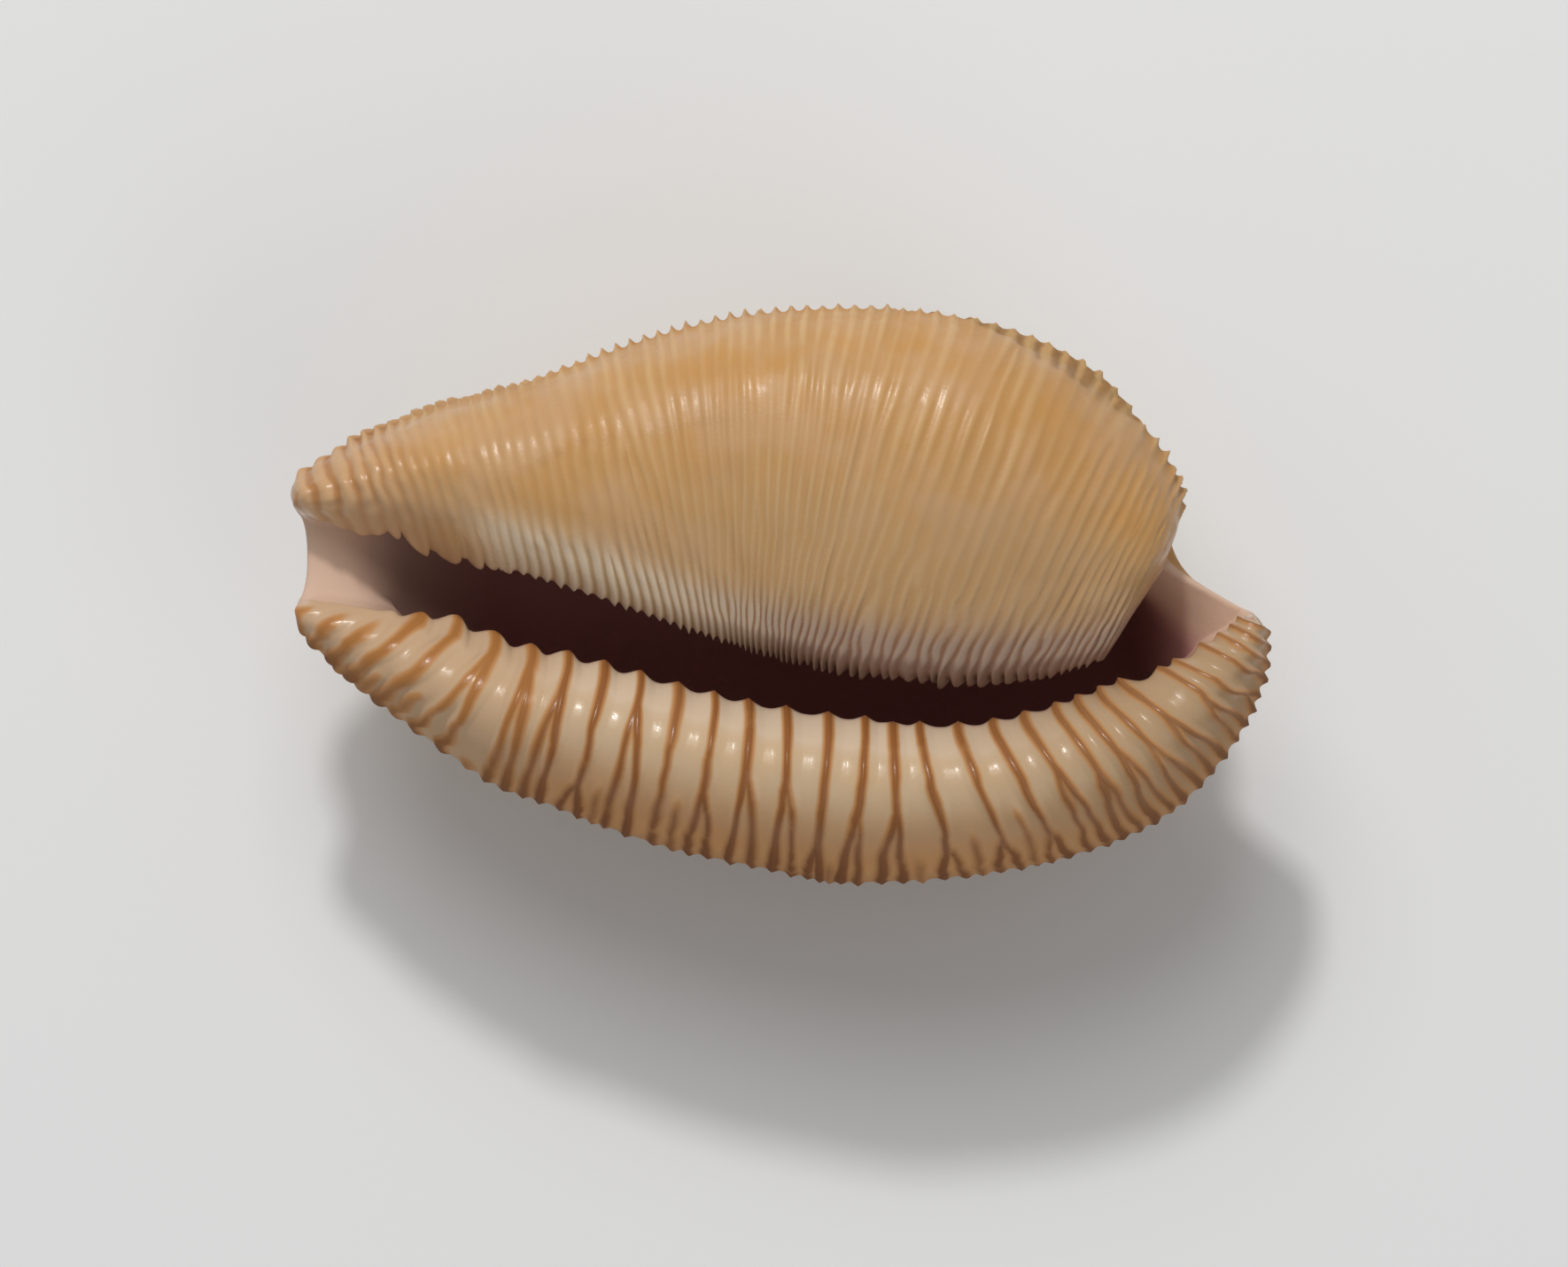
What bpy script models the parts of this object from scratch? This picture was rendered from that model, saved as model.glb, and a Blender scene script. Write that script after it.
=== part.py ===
"""A ribbed cowrie shell lying on its back with its mouth up, modelled in one piece.

The shell is a tube of C-shaped sections from its front (anterior) end at -X to its back
(posterior) end at +X. Each section runs from the columellar edge of the mouth over the columellar
face, round the back of the shell and up over the outer lip (the labrum) to the labral edge of the
mouth, and then back along the inside. The sections fan out towards both ends, as the ribs do.
"""

import math

import bmesh
import bpy
import numpy as np

MM = 0.001
WELD = 0.001 * MM

# Driving dimensions, in millimetres. The tables below are drawn for a shell of TABLE_LENGTH.
SHELL_LENGTH = 30.0
TABLE_LENGTH = 30.0

# The back is a rounded arch of this power, which leans a little towards the columellar side.
BACK_ROUNDNESS = 2.3
BACK_LEAN = 0.06

# The wall's thickness round the section.
LIP_WALL = 1.3
COLUMELLAR_WALL = 2.5
COLUMELLAR_MARGIN_WALL = 2.0
BACK_WALL = 1.1
LABRAL_MARGIN_WALL = 1.5
LABRAL_WALL = 2.5

# The ridges of the outer lip, their teeth at the mouth, and the first and last tooth.
RIDGE_HEIGHT = 0.12
TOOTH_HEIGHT = 0.30
FIRST_TOOTH = 5.0
LAST_TOOTH = 32.0

# How far the shell is rolled about its long axis where it lies on its back, and how deep the spot
# that it lies on is worn flat.
REST_ROLL = math.radians(7.0)
WORN_SPOT_DEPTH = 0.12

# The sections that shape the shell, from the front end to the back end. RIBS numbers the fine ribs
# and RIDGES the coarse ridges of the labrum that lie on each of these sections.
RIBS = (0.0, 2.5, 5.5, 9.0, 18.5, 27.0, 35.5, 45.0, 51.5, 56.0, 60.0, 64.0, 67.0, 70.0)
RIDGES = (0.0, 3.2, 5.6, 8.0, 10.0, 13.0, 16.0, 19.0, 22.0, 25.0, 27.0, 28.8, 31.4, 34.0)

# The columellar edge of the mouth.
MOUTH_C = (
    (-15.0, 2.6, 0.1),
    (-13.1, 2.2, 0.7),
    (-11.7, 2.2, 1.2),
    (-10.1, 1.95, 1.7),
    (-6.7, 1.0, 2.3),
    (-3.4, -0.2, 2.8),
    (-0.9, -1.05, 3.1),
    (1.8, -1.7, 3.2),
    (4.2, -2.05, 3.2),
    (6.1, -2.1, 3.0),
    (7.8, -2.0, 2.8),
    (9.2, -1.85, 2.5),
    (10.0, -1.6, 2.2),
    (10.45, -1.15, 1.8),
)
# The widest line of the shell on its columellar side.
MARGIN_C = (
    (-15.2, 3.4, -0.7),
    (-13.9, 4.3, -1.0),
    (-12.8, 4.9, -1.2),
    (-11.4, 5.5, -1.3),
    (-8.2, 6.45, -1.4),
    (-5.2, 7.5, -1.5),
    (-1.0, 8.6, -1.5),
    (4.8, 8.7, -1.5),
    (7.9, 7.95, -1.4),
    (10.0, 6.75, -1.3),
    (11.4, 5.1, -1.1),
    (12.2, 3.8, -1.0),
    (12.4, 2.8, -1.0),
    (11.95, 1.25, -0.9),
)
# The highest line of the columellar face: its share of the way to the margin, its height, and how
# far the roll from there to the margin bulges out of an ellipse.
CREST_C = (
    (0.5, 0.9, 0.0),
    (0.5, 1.6, 0.0),
    (0.5, 2.1, 0.0),
    (0.5, 2.6, 0.02),
    (0.48, 3.4, 0.06),
    (0.47, 4.0, 0.1),
    (0.47, 4.4, 0.13),
    (0.47, 4.5, 0.12),
    (0.47, 4.4, 0.08),
    (0.47, 4.1, 0.04),
    (0.47, 3.6, 0.02),
    (0.46, 3.1, 0.0),
    (0.45, 2.6, 0.0),
    (0.45, 2.1, 0.0),
)
# The labral edge of the mouth.
MOUTH_L = (
    (-15.15, 0.0, 0.0),
    (-12.5, -0.45, 0.7),
    (-11.4, -0.9, 1.1),
    (-9.15, -1.85, 1.8),
    (-6.65, -2.6, 2.4),
    (-3.2, -3.5, 2.8),
    (0.1, -4.25, 3.0),
    (3.3, -4.65, 3.1),
    (6.5, -4.62, 3.0),
    (9.1, -3.9, 2.8),
    (10.7, -3.2, 2.5),
    (12.2, -2.3, 2.1),
    (13.8, -1.2, 1.5),
    (14.35, -0.5, 0.8),
)
# The widest line of the shell on its labral side.
MARGIN_L = (
    (-14.95, -0.9, -0.8),
    (-13.95, -1.9, -1.0),
    (-12.8, -2.9, -1.1),
    (-10.4, -4.7, -1.2),
    (-7.4, -6.3, -1.3),
    (-3.9, -7.6, -1.4),
    (0.1, -8.5, -1.5),
    (3.5, -8.8, -1.5),
    (8.6, -8.1, -1.5),
    (11.8, -6.8, -1.4),
    (13.5, -5.2, -1.3),
    (14.6, -3.4, -1.2),
    (15.0, -1.9, -1.0),
    (14.85, -0.7, -0.8),
)
# The highest line of the labral face, given in the same way.
CREST_L = (
    (0.5, 0.4, 0.0),
    (0.45, 1.1, 0.0),
    (0.42, 1.7, 0.0),
    (0.35, 2.4, 0.0),
    (0.3, 2.9, 0.0),
    (0.28, 3.3, 0.0),
    (0.27, 3.5, 0.0),
    (0.27, 3.6, 0.0),
    (0.27, 3.5, 0.0),
    (0.3, 3.3, 0.0),
    (0.33, 3.0, 0.0),
    (0.38, 2.5, 0.0),
    (0.42, 1.8, 0.0),
    (0.5, 1.0, 0.0),
)
# The lowest height of the back, and how far it is pinched in towards the middle of the shell,
# which notches the canals.
BACK = (
    (-1.4, 0.9),
    (-2.6, 0.9),
    (-4.4, 1.4),
    (-6.6, 1.3),
    (-8.8, 0.4),
    (-9.9, 0.0),
    (-10.45, 0.0),
    (-10.45, 0.0),
    (-9.7, 0.1),
    (-8.3, 0.8),
    (-6.5, 1.7),
    (-4.4, 2.1),
    (-2.5, 1.2),
    (-1.2, 0.15),
)

# The floors of the two canals, from the hollow to the rim: rib number, then the floor's columellar
# and labral sides. The canals pass into the hollow between the rib numbers of FRONT_CANAL and REAR_CANAL.
FRONT_FLOOR = (
    (0.0, (-14.65, 2.2, -0.3), (-14.7, 0.3, -0.3)),
    (2.5, (-13.2, 2.1, -0.85), (-12.8, 0.25, -0.8)),
    (5.5, (-11.9, 2.0, -2.2), (-11.6, 0.0, -2.1)),
    (9.0, (-10.6, 1.8, -4.0), (-10.2, -0.4, -4.0)),
)
REAR_FLOOR = (
    (58.0, (8.8, -1.0, -5.0), (10.3, -2.9, -5.0)),
    (60.0, (9.8, -0.5, -3.4), (11.4, -2.2, -3.4)),
    (64.0, (10.9, 0.1, -1.8), (12.7, -1.5, -1.8)),
    (67.0, (11.5, 0.6, -0.95), (13.7, -0.9, -0.95)),
    (70.0, (11.85, 0.9, -0.5), (14.3, -0.3, -0.5)),
)
FRONT_CANAL = (9.0, 4.0)
REAR_CANAL = (58.0, 65.0)
UNDER_LIP = 0.35
FLOOR_SAG = 0.15

# The corners beside the mouth at both ends: how many ribs they are cut back by, over which share of
# the face and over how many ribs.
CORNER_CUT = 0.6
CORNER_PLACE = 0.4
CORNER_FADE = 4.0

# How finely the shell is divided.
COLUMNS_PER_RIDGE = 3
COLUMELLAR_ROWS = 7
BACK_ROWS = 10
LABRAL_ROWS = 6
LIP_ROWS = 1

SHELL_COLOUR = (0.50, 0.29, 0.11)


def ease(low, high, value):
    """0 below low, 1 above high and a smooth step between them. It runs down if low is above high."""
    share = np.clip((value - low) / (high - low), 0.0, 1.0)
    return share * share * (3.0 - 2.0 * share)


def smooth_curve(knots, values, at):
    """The smooth curve through values at knots (a natural cubic spline), read at the places at."""
    knots = np.asarray(knots, float)
    values = np.asarray(values, float)
    gaps = np.diff(knots)
    count = len(knots)
    system = np.eye(count)
    right = np.zeros_like(values)
    for i in range(1, count - 1):
        system[i, i - 1] = gaps[i - 1]
        system[i, i] = 2.0 * (gaps[i - 1] + gaps[i])
        system[i, i + 1] = gaps[i]
        steps = (values[i + 1] - values[i]) / gaps[i] - (values[i] - values[i - 1]) / gaps[i - 1]
        right[i] = 6.0 * steps
    bends = np.linalg.solve(system, right)
    place = np.clip(np.searchsorted(knots, at) - 1, 0, count - 2)
    gap = gaps[place]
    after = (at - knots[place]) / gap
    if values.ndim == 2:
        gap = gap[:, None]
        after = after[:, None]
    before = 1.0 - after
    bend = (before**3 - before) * bends[place] + (after**3 - after) * bends[place + 1]
    return before * values[place] + after * values[place + 1] + bend * gap**2 / 6.0


def sections_at(ribs):
    """The shape of the section at each rib number, as named curves along the shell."""

    def curve(guide):
        return smooth_curve(RIBS, np.array(guide), ribs)

    return {
        "mouth_c": curve(MOUTH_C),
        "margin_c": curve(MARGIN_C),
        "crest_c": curve(CREST_C),
        "mouth_l": curve(MOUTH_L),
        "margin_l": curve(MARGIN_L),
        "crest_l": curve(CREST_L),
        "back": curve(BACK),
    }


def face_point(mouth, margin, crest, along):
    """A point of a face that rises from the mouth (along = 0) to its crest and rolls to its margin (1)."""
    share = crest[..., 0]
    rise = crest[..., 1] - margin[..., 2]
    start = np.arccos(np.clip((mouth[..., 2] - margin[..., 2]) / rise, 0.0, 0.999))
    angle = -start + along * (start + 0.5 * math.pi)
    reach = np.where(angle < 0.0, share / np.sin(start), 1.0 - share)
    fuller = 1.0 + crest[..., 2] * np.sin(2.0 * np.maximum(angle, 0.0)) ** 2
    part = (share + reach * np.sin(angle) * fuller)[..., None]
    point = mouth + part * (margin - mouth)
    point[..., 2] = margin[..., 2] + rise * np.cos(angle) * fuller
    return point


def back_point(margin_c, margin_l, back, along):
    """A point of the back, from the columellar margin (along = 0) under the shell to the labral one (1)."""
    angle = math.pi * along
    power = 2.0 / BACK_ROUNDNESS
    across = math.copysign(abs(math.cos(angle)) ** power, math.cos(angle))
    down = abs(math.sin(angle)) ** power
    chord = margin_c - margin_l
    point = 0.5 * (margin_c + margin_l) + 0.5 * across * chord
    inward = np.stack([-chord[..., 1], chord[..., 0]], axis=-1)
    inward *= np.sign(margin_c[..., :1]) / np.linalg.norm(inward, axis=-1, keepdims=True)
    point[..., :2] += down * back[..., 1:] * inward
    point += BACK_LEAN * down * chord
    level = margin_c[..., 2] + along * (margin_l[..., 2] - margin_c[..., 2])
    point[..., 2] = level - down * (level - back[..., 0])
    return point


def wall_at(place):
    """The wall's thickness at a place along the section (0 to 3)."""
    walls = {
        0.0: LIP_WALL,
        0.45: COLUMELLAR_WALL,
        1.0: COLUMELLAR_MARGIN_WALL,
        1.5: BACK_WALL,
        2.0: LABRAL_MARGIN_WALL,
        2.5: LABRAL_WALL,
        3.0: LIP_WALL,
    }
    return np.interp(place, list(walls), list(walls.values()))


def row_places():
    """Where the rows lie along a section: 0 to 1 columellar face, 1 to 2 back, 2 to 3 labral face."""
    face_c = np.linspace(0.0, 1.0, COLUMELLAR_ROWS, endpoint=False)
    back = np.linspace(1.0, 2.0, BACK_ROWS, endpoint=False)
    face_l = np.linspace(2.0, 3.0, LABRAL_ROWS)
    return np.concatenate([face_c, back, face_l])


def outer_rows(ribs, places):
    """The outer surface: one row of points for each place along the section.

    Beside the mouth the rows start a little further in, which rounds the corners of both ends.
    """
    rows = []
    for place in places:
        beside_mouth = ease(CORNER_PLACE, 0.0, min(place, 3.0 - place))
        near_end = np.clip(1.0 - np.minimum(ribs, RIBS[-1] - ribs) / CORNER_FADE, 0.0, 1.0) ** 2
        shape = sections_at(ribs + CORNER_CUT * beside_mouth * near_end * np.where(ribs < 35.0, 1.0, -1.0))
        if place < 1.0:
            rows.append(face_point(shape["mouth_c"], shape["margin_c"], shape["crest_c"], place))
        elif place < 2.0:
            rows.append(back_point(shape["margin_c"], shape["margin_l"], shape["back"], place - 1.0))
        else:
            rows.append(face_point(shape["mouth_l"], shape["margin_l"], shape["crest_l"], 3.0 - place))
    return np.array(rows)


def unit(vectors):
    return vectors / np.linalg.norm(vectors, axis=-1, keepdims=True)


def normals_of(rows):
    """The direction out of the surface at each point of the outer rows."""
    return unit(np.cross(np.gradient(rows, axis=1), np.gradient(rows, axis=0)))


def cavity_axis(shape):
    """The middle line of the hollow, which the wall's thickness is measured towards."""
    middle = 0.5 * (shape["margin_c"] + shape["margin_l"])
    mouth = 0.5 * (shape["mouth_c"] + shape["mouth_l"])
    axis = 0.5 * (middle + mouth)
    axis[..., 2] = 0.42 * mouth[..., 2] + 0.46 * shape["back"][..., 0]
    return axis


def canal_rows(outer, places, ribs, floor):
    """The inner surface of a canal: from each lip down to the floor's side, and level between the sides."""
    numbers = [rib for rib, _, _ in floor]
    sides = []
    for side in (1, 2):
        corners = np.array([row[side] for row in floor])
        sides.append(np.stack([np.interp(ribs, numbers, corners[:, k]) for k in range(3)], axis=-1))
    rows = []
    for place in places:
        if 1.0 <= place <= 2.0:
            point = sides[0] + (place - 1.0) * (sides[1] - sides[0])
            point[:, 2] -= FLOOR_SAG * math.sin(math.pi * (place - 1.0))
        else:
            lip, side = (outer[0], sides[0]) if place < 1.0 else (outer[-1], sides[1])
            angle = UNDER_LIP + min(place, 3.0 - place) * (0.5 * math.pi - UNDER_LIP)
            point = lip + (1.0 - math.cos(angle)) * (side - lip)
            point[:, 2] = lip[:, 2] + math.sin(angle) * (side[:, 2] - lip[:, 2])
        rows.append(point)
    return np.array(rows)


def inner_rows(outer, places, shape, ribs):
    """The inner surface: each outer point moved in by the wall's thickness, and the two canals."""
    walls = np.array([wall_at(place) for place in places])
    rows = outer + unit(cavity_axis(shape)[None] - outer) * walls[:, None, None]
    for (hollow, canal), floor in ((FRONT_CANAL, FRONT_FLOOR), (REAR_CANAL, REAR_FLOOR)):
        share = ease(hollow, canal, ribs)[None, :, None]
        rows = rows + share * (canal_rows(outer, places, ribs, floor) - rows)
    return rows


def lip_rows(start, before, end, after, count):
    """The rounded edge of a lip: count rows from start to end, which leave both surfaces smoothly."""
    reach = 0.55 * np.linalg.norm(end - start, axis=-1, keepdims=True)
    leave = unit(start - before)
    arrive = unit(end - after)
    rows = []
    for step in range(1, count + 1):
        t = step / (count + 1)
        rows.append(
            (1 - t) ** 3 * start
            + 3 * t * (1 - t) ** 2 * (start + reach * leave)
            + 3 * t**2 * (1 - t) * (end + reach * arrive)
            + t**3 * end
        )
    return np.array(rows)


def rim_closing(outer, inner):
    """How far each point draws in to the middle of the wall, which rounds the rims of the two canals.

    It is 1 at both ends of the shell, and 0 from half the wall's thickness on.
    """
    closing = np.zeros(outer.shape[:2])
    for way in (slice(None), slice(None, None, -1)):
        line = outer[:, way]
        steps = np.linalg.norm(np.diff(line, axis=1), axis=-1)
        run = np.concatenate([np.zeros((len(line), 1)), np.cumsum(steps, axis=1)], axis=1)
        radius = 0.5 * np.linalg.norm(inner[:, way][:, :1] - line[:, :1], axis=-1)
        share = np.clip(1.0 - run / radius, 0.0, 1.0)
        closing[:, way] = np.maximum(closing[:, way], 1.0 - np.sqrt(1.0 - share**2))
    return closing


def tooth_heights(ridges, places):
    """How far the labral face stands out at each row and column, from its ridges and their teeth."""
    fade_in = np.clip(0.5 * (ridges - FIRST_TOOTH), 0.0, 1.0)
    fade_out = np.clip(0.5 * (LAST_TOOTH - ridges), 0.0, 1.0)
    waves = 0.5 * np.cos(2.0 * math.pi * ridges) * fade_in * fade_out
    on_face = np.clip((places - 2.1) / 0.4, 0.0, 1.0)
    at_teeth = np.clip((places - 2.6) / 0.4, 0.0, 1.0)
    heights = on_face * (RIDGE_HEIGHT + (TOOTH_HEIGHT - RIDGE_HEIGHT) * at_teeth)
    return heights[:, None] * waves


def build_grid():
    """The closed loop of rows round the section, for every column along the shell."""
    ridges = np.linspace(RIDGES[0], RIDGES[-1], int(RIDGES[-1]) * COLUMNS_PER_RIDGE + 1)
    ribs = smooth_curve(RIDGES, np.array(RIBS), ridges)
    shape = sections_at(ribs)
    places = row_places()
    outer = outer_rows(ribs, places)
    inner = inner_rows(outer, places, shape, ribs)
    outer = outer + normals_of(outer) * tooth_heights(ridges, places)[..., None]
    lip_l = lip_rows(outer[-1], outer[-2], inner[-1], inner[-2], LIP_ROWS)
    lip_c = lip_rows(outer[0], outer[1], inner[0], inner[1], LIP_ROWS)
    closing = rim_closing(outer, inner)[..., None]
    middle = 0.5 * (outer + inner)
    outer = outer + closing * (middle - outer)
    inner = inner + closing * (middle - inner)
    lip_l = lip_l + closing[-1] * (middle[-1] - lip_l)
    lip_c = lip_c + closing[0] * (middle[0] - lip_c)
    return outer, lip_l, inner[::-1], lip_c[::-1]


def set_down(points):
    """Turns the shell to how it lies and sets it on the ground, centred, with its worn spot level."""
    cosine = math.cos(REST_ROLL)
    sine = math.sin(REST_ROLL)
    roll = np.array([[1.0, 0.0, 0.0], [0.0, cosine, -sine], [0.0, sine, cosine]])
    turned = points @ roll.T * (SHELL_LENGTH / TABLE_LENGTH)
    low = turned.min(axis=0)
    high = turned.max(axis=0)
    turned -= [0.5 * (low[0] + high[0]), 0.5 * (low[1] + high[1]), low[2] + WORN_SPOT_DEPTH]
    turned[:, 2] = np.maximum(turned[:, 2], 0.0)
    return turned


def shell_mesh():
    """The closed mesh: the loop of rows swept along the shell. Its two surfaces meet at the rims."""
    loop = np.concatenate(build_grid())
    rows, columns = loop.shape[:2]
    faces = []
    for row in range(rows):
        one = row * columns
        two = (row + 1) % rows * columns
        for column in range(columns - 1):
            faces.append((one + column, one + column + 1, two + column + 1, two + column))
    return set_down(loop.reshape(-1, 3)) * MM, faces


def shell_material():
    material = bpy.data.materials.new("shell")
    material.use_nodes = True
    shader = material.node_tree.nodes["Principled BSDF"]
    shader.inputs["Base Color"].default_value = (*SHELL_COLOUR, 1.0)
    shader.inputs["Roughness"].default_value = 0.3
    shader.inputs["Metallic"].default_value = 0.0
    return material


def make_shell():
    points, faces = shell_mesh()
    mesh = bpy.data.meshes.new("shell")
    mesh.from_pydata(points.tolist(), [], faces)
    work = bmesh.new()
    work.from_mesh(mesh)
    bmesh.ops.remove_doubles(work, verts=work.verts, dist=WELD)
    bmesh.ops.dissolve_degenerate(work, edges=work.edges, dist=WELD)
    bmesh.ops.recalc_face_normals(work, faces=work.faces)
    bmesh.ops.triangulate(work, faces=work.faces)
    work.to_mesh(mesh)
    work.free()
    mesh.shade_smooth()
    mesh.materials.append(shell_material())
    shell = bpy.data.objects.new("shell", mesh)
    bpy.context.scene.collection.objects.link(shell)
    return shell


def main():
    for obj in list(bpy.data.objects):
        bpy.data.objects.remove(obj)
    make_shell()


main()
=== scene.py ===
"""The looks of a ribbed cowrie shell that lies on its back with its mouth up.

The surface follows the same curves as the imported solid, drawn much more finely. Fine ribs run round
the back and over the columellar face down to the mouth, where they end as teeth. On the outer lip,
the labrum, they join into brown ridges, one for each labral tooth.
"""

import math

import bmesh
import bpy
import numpy as np
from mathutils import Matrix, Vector

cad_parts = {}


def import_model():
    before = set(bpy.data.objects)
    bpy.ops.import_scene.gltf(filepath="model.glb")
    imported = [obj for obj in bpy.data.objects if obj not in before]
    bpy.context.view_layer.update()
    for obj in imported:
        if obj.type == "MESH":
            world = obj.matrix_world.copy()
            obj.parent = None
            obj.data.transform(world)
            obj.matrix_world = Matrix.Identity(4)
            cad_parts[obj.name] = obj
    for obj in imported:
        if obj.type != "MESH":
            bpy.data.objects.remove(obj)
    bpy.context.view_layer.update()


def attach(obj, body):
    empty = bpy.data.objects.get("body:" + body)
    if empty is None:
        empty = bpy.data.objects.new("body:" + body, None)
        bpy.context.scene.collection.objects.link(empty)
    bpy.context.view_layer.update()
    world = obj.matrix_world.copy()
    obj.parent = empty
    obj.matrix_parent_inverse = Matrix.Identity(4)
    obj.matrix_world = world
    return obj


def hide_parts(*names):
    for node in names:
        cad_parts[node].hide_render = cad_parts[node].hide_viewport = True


MM = 0.001
WELD = 1e-7

# The back is a rounded arch of this power, which leans a little towards the columellar side.
BACK_ROUNDNESS = 2.3
BACK_LEAN = 0.06

# The wall's thickness round the section, as (place, millimetres). Places run from 0 at the columellar
# edge of the mouth over the margins, at 1 and 2, to 3 at the labral edge.
WALL = ((0.0, 1.3), (0.45, 2.5), (1.0, 2.0), (1.5, 1.1), (2.0, 1.5), (2.5, 2.5), (3.0, 1.3))

# How far the shell is rolled about its long axis where it lies on its back, and the point of the
# rolled shell that comes to the middle of the ground. It lies on a small spot that is worn flat.
REST_ROLL = math.radians(7.0)
REST_TURN = np.array(
    (
        (1.0, 0.0, 0.0),
        (0.0, math.cos(REST_ROLL), -math.sin(REST_ROLL)),
        (0.0, math.sin(REST_ROLL), math.cos(REST_ROLL)),
    )
)
REST_PLACE = (0.013, 0.382, -10.221)

# The sections that shape the shell, from the front end to the back end. RIBS says how far along the
# shell each one lies, counted in fine ribs, and RIDGES says it in coarse ridges of the labrum. A rib
# number below is a place along the shell in the count of RIBS.
RIBS = (0.0, 2.5, 5.5, 9.0, 18.5, 27.0, 35.5, 45.0, 51.5, 56.0, 60.0, 64.0, 67.0, 70.0)
RIDGES = (2.7, 4.75, 6.55, 8.2, 10.2, 13.0, 16.0, 19.0, 22.0, 25.0, 27.0, 28.8, 31.4, 34.0)

# The columellar edge of the mouth.
MOUTH_C = (
    (-15.0, 2.6, 0.1),
    (-13.1, 2.2, 0.7),
    (-11.7, 2.2, 1.2),
    (-10.1, 1.95, 1.7),
    (-6.7, 1.0, 2.3),
    (-3.4, -0.2, 2.8),
    (-0.9, -1.05, 3.1),
    (1.8, -1.7, 3.2),
    (4.2, -2.05, 3.2),
    (6.1, -2.1, 3.0),
    (7.8, -2.0, 2.8),
    (9.2, -1.85, 2.5),
    (10.0, -1.6, 2.2),
    (10.45, -1.15, 1.8),
)
# The widest line of the shell on its columellar side.
MARGIN_C = (
    (-15.2, 3.4, -0.7),
    (-13.9, 4.3, -1.0),
    (-12.8, 4.9, -1.2),
    (-11.4, 5.5, -1.3),
    (-8.2, 6.45, -1.4),
    (-5.2, 7.5, -1.5),
    (-1.0, 8.6, -1.5),
    (4.8, 8.7, -1.5),
    (7.9, 7.95, -1.4),
    (10.0, 6.75, -1.3),
    (11.4, 5.1, -1.1),
    (12.2, 3.8, -1.0),
    (12.4, 2.8, -1.0),
    (11.95, 1.25, -0.9),
)
# The highest line of the columellar face: its share of the way to the margin, its height, and how
# far the roll from there to the margin bulges out of an ellipse.
CREST_C = (
    (0.5, 0.9, 0.0),
    (0.5, 1.6, 0.0),
    (0.5, 2.1, 0.0),
    (0.5, 2.6, 0.02),
    (0.48, 3.4, 0.06),
    (0.47, 4.0, 0.1),
    (0.47, 4.4, 0.13),
    (0.47, 4.5, 0.12),
    (0.47, 4.4, 0.08),
    (0.47, 4.1, 0.04),
    (0.47, 3.6, 0.02),
    (0.46, 3.1, 0.0),
    (0.45, 2.6, 0.0),
    (0.45, 2.1, 0.0),
)
# The labral edge of the mouth.
MOUTH_L = (
    (-15.15, 0.0, 0.0),
    (-12.5, -0.45, 0.7),
    (-11.4, -0.9, 1.1),
    (-9.15, -1.85, 1.8),
    (-6.65, -2.6, 2.4),
    (-3.2, -3.5, 2.8),
    (0.1, -4.25, 3.0),
    (3.3, -4.65, 3.1),
    (6.5, -4.62, 3.0),
    (9.1, -3.9, 2.8),
    (10.7, -3.2, 2.5),
    (12.2, -2.3, 2.1),
    (13.8, -1.2, 1.5),
    (14.35, -0.5, 0.8),
)
# The widest line of the shell on its labral side.
MARGIN_L = (
    (-14.95, -0.9, -0.8),
    (-13.95, -1.9, -1.0),
    (-12.8, -2.9, -1.1),
    (-10.4, -4.7, -1.2),
    (-7.4, -6.3, -1.3),
    (-3.9, -7.6, -1.4),
    (0.1, -8.5, -1.5),
    (3.5, -8.8, -1.5),
    (8.6, -8.1, -1.5),
    (11.8, -6.8, -1.4),
    (13.5, -5.2, -1.3),
    (14.6, -3.4, -1.2),
    (15.0, -1.9, -1.0),
    (14.85, -0.7, -0.8),
)
# The highest line of the labral face, given in the same way.
CREST_L = (
    (0.5, 0.4, 0.0),
    (0.45, 1.1, 0.0),
    (0.42, 1.7, 0.0),
    (0.35, 2.4, 0.0),
    (0.3, 2.9, 0.0),
    (0.28, 3.3, 0.0),
    (0.27, 3.5, 0.0),
    (0.27, 3.6, 0.0),
    (0.27, 3.5, 0.0),
    (0.3, 3.3, 0.0),
    (0.33, 3.0, 0.0),
    (0.38, 2.5, 0.0),
    (0.42, 1.8, 0.0),
    (0.5, 1.0, 0.0),
)
# The lowest height of the back, and how far it is pinched in towards the middle of the shell,
# which notches the canals.
BACK = (
    (-1.4, 0.9),
    (-2.6, 0.9),
    (-4.4, 1.4),
    (-6.6, 1.3),
    (-8.8, 0.4),
    (-9.9, 0.0),
    (-10.45, 0.0),
    (-10.45, 0.0),
    (-9.7, 0.1),
    (-8.3, 0.8),
    (-6.5, 1.7),
    (-4.4, 2.1),
    (-2.5, 1.2),
    (-1.2, 0.15),
)

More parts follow.
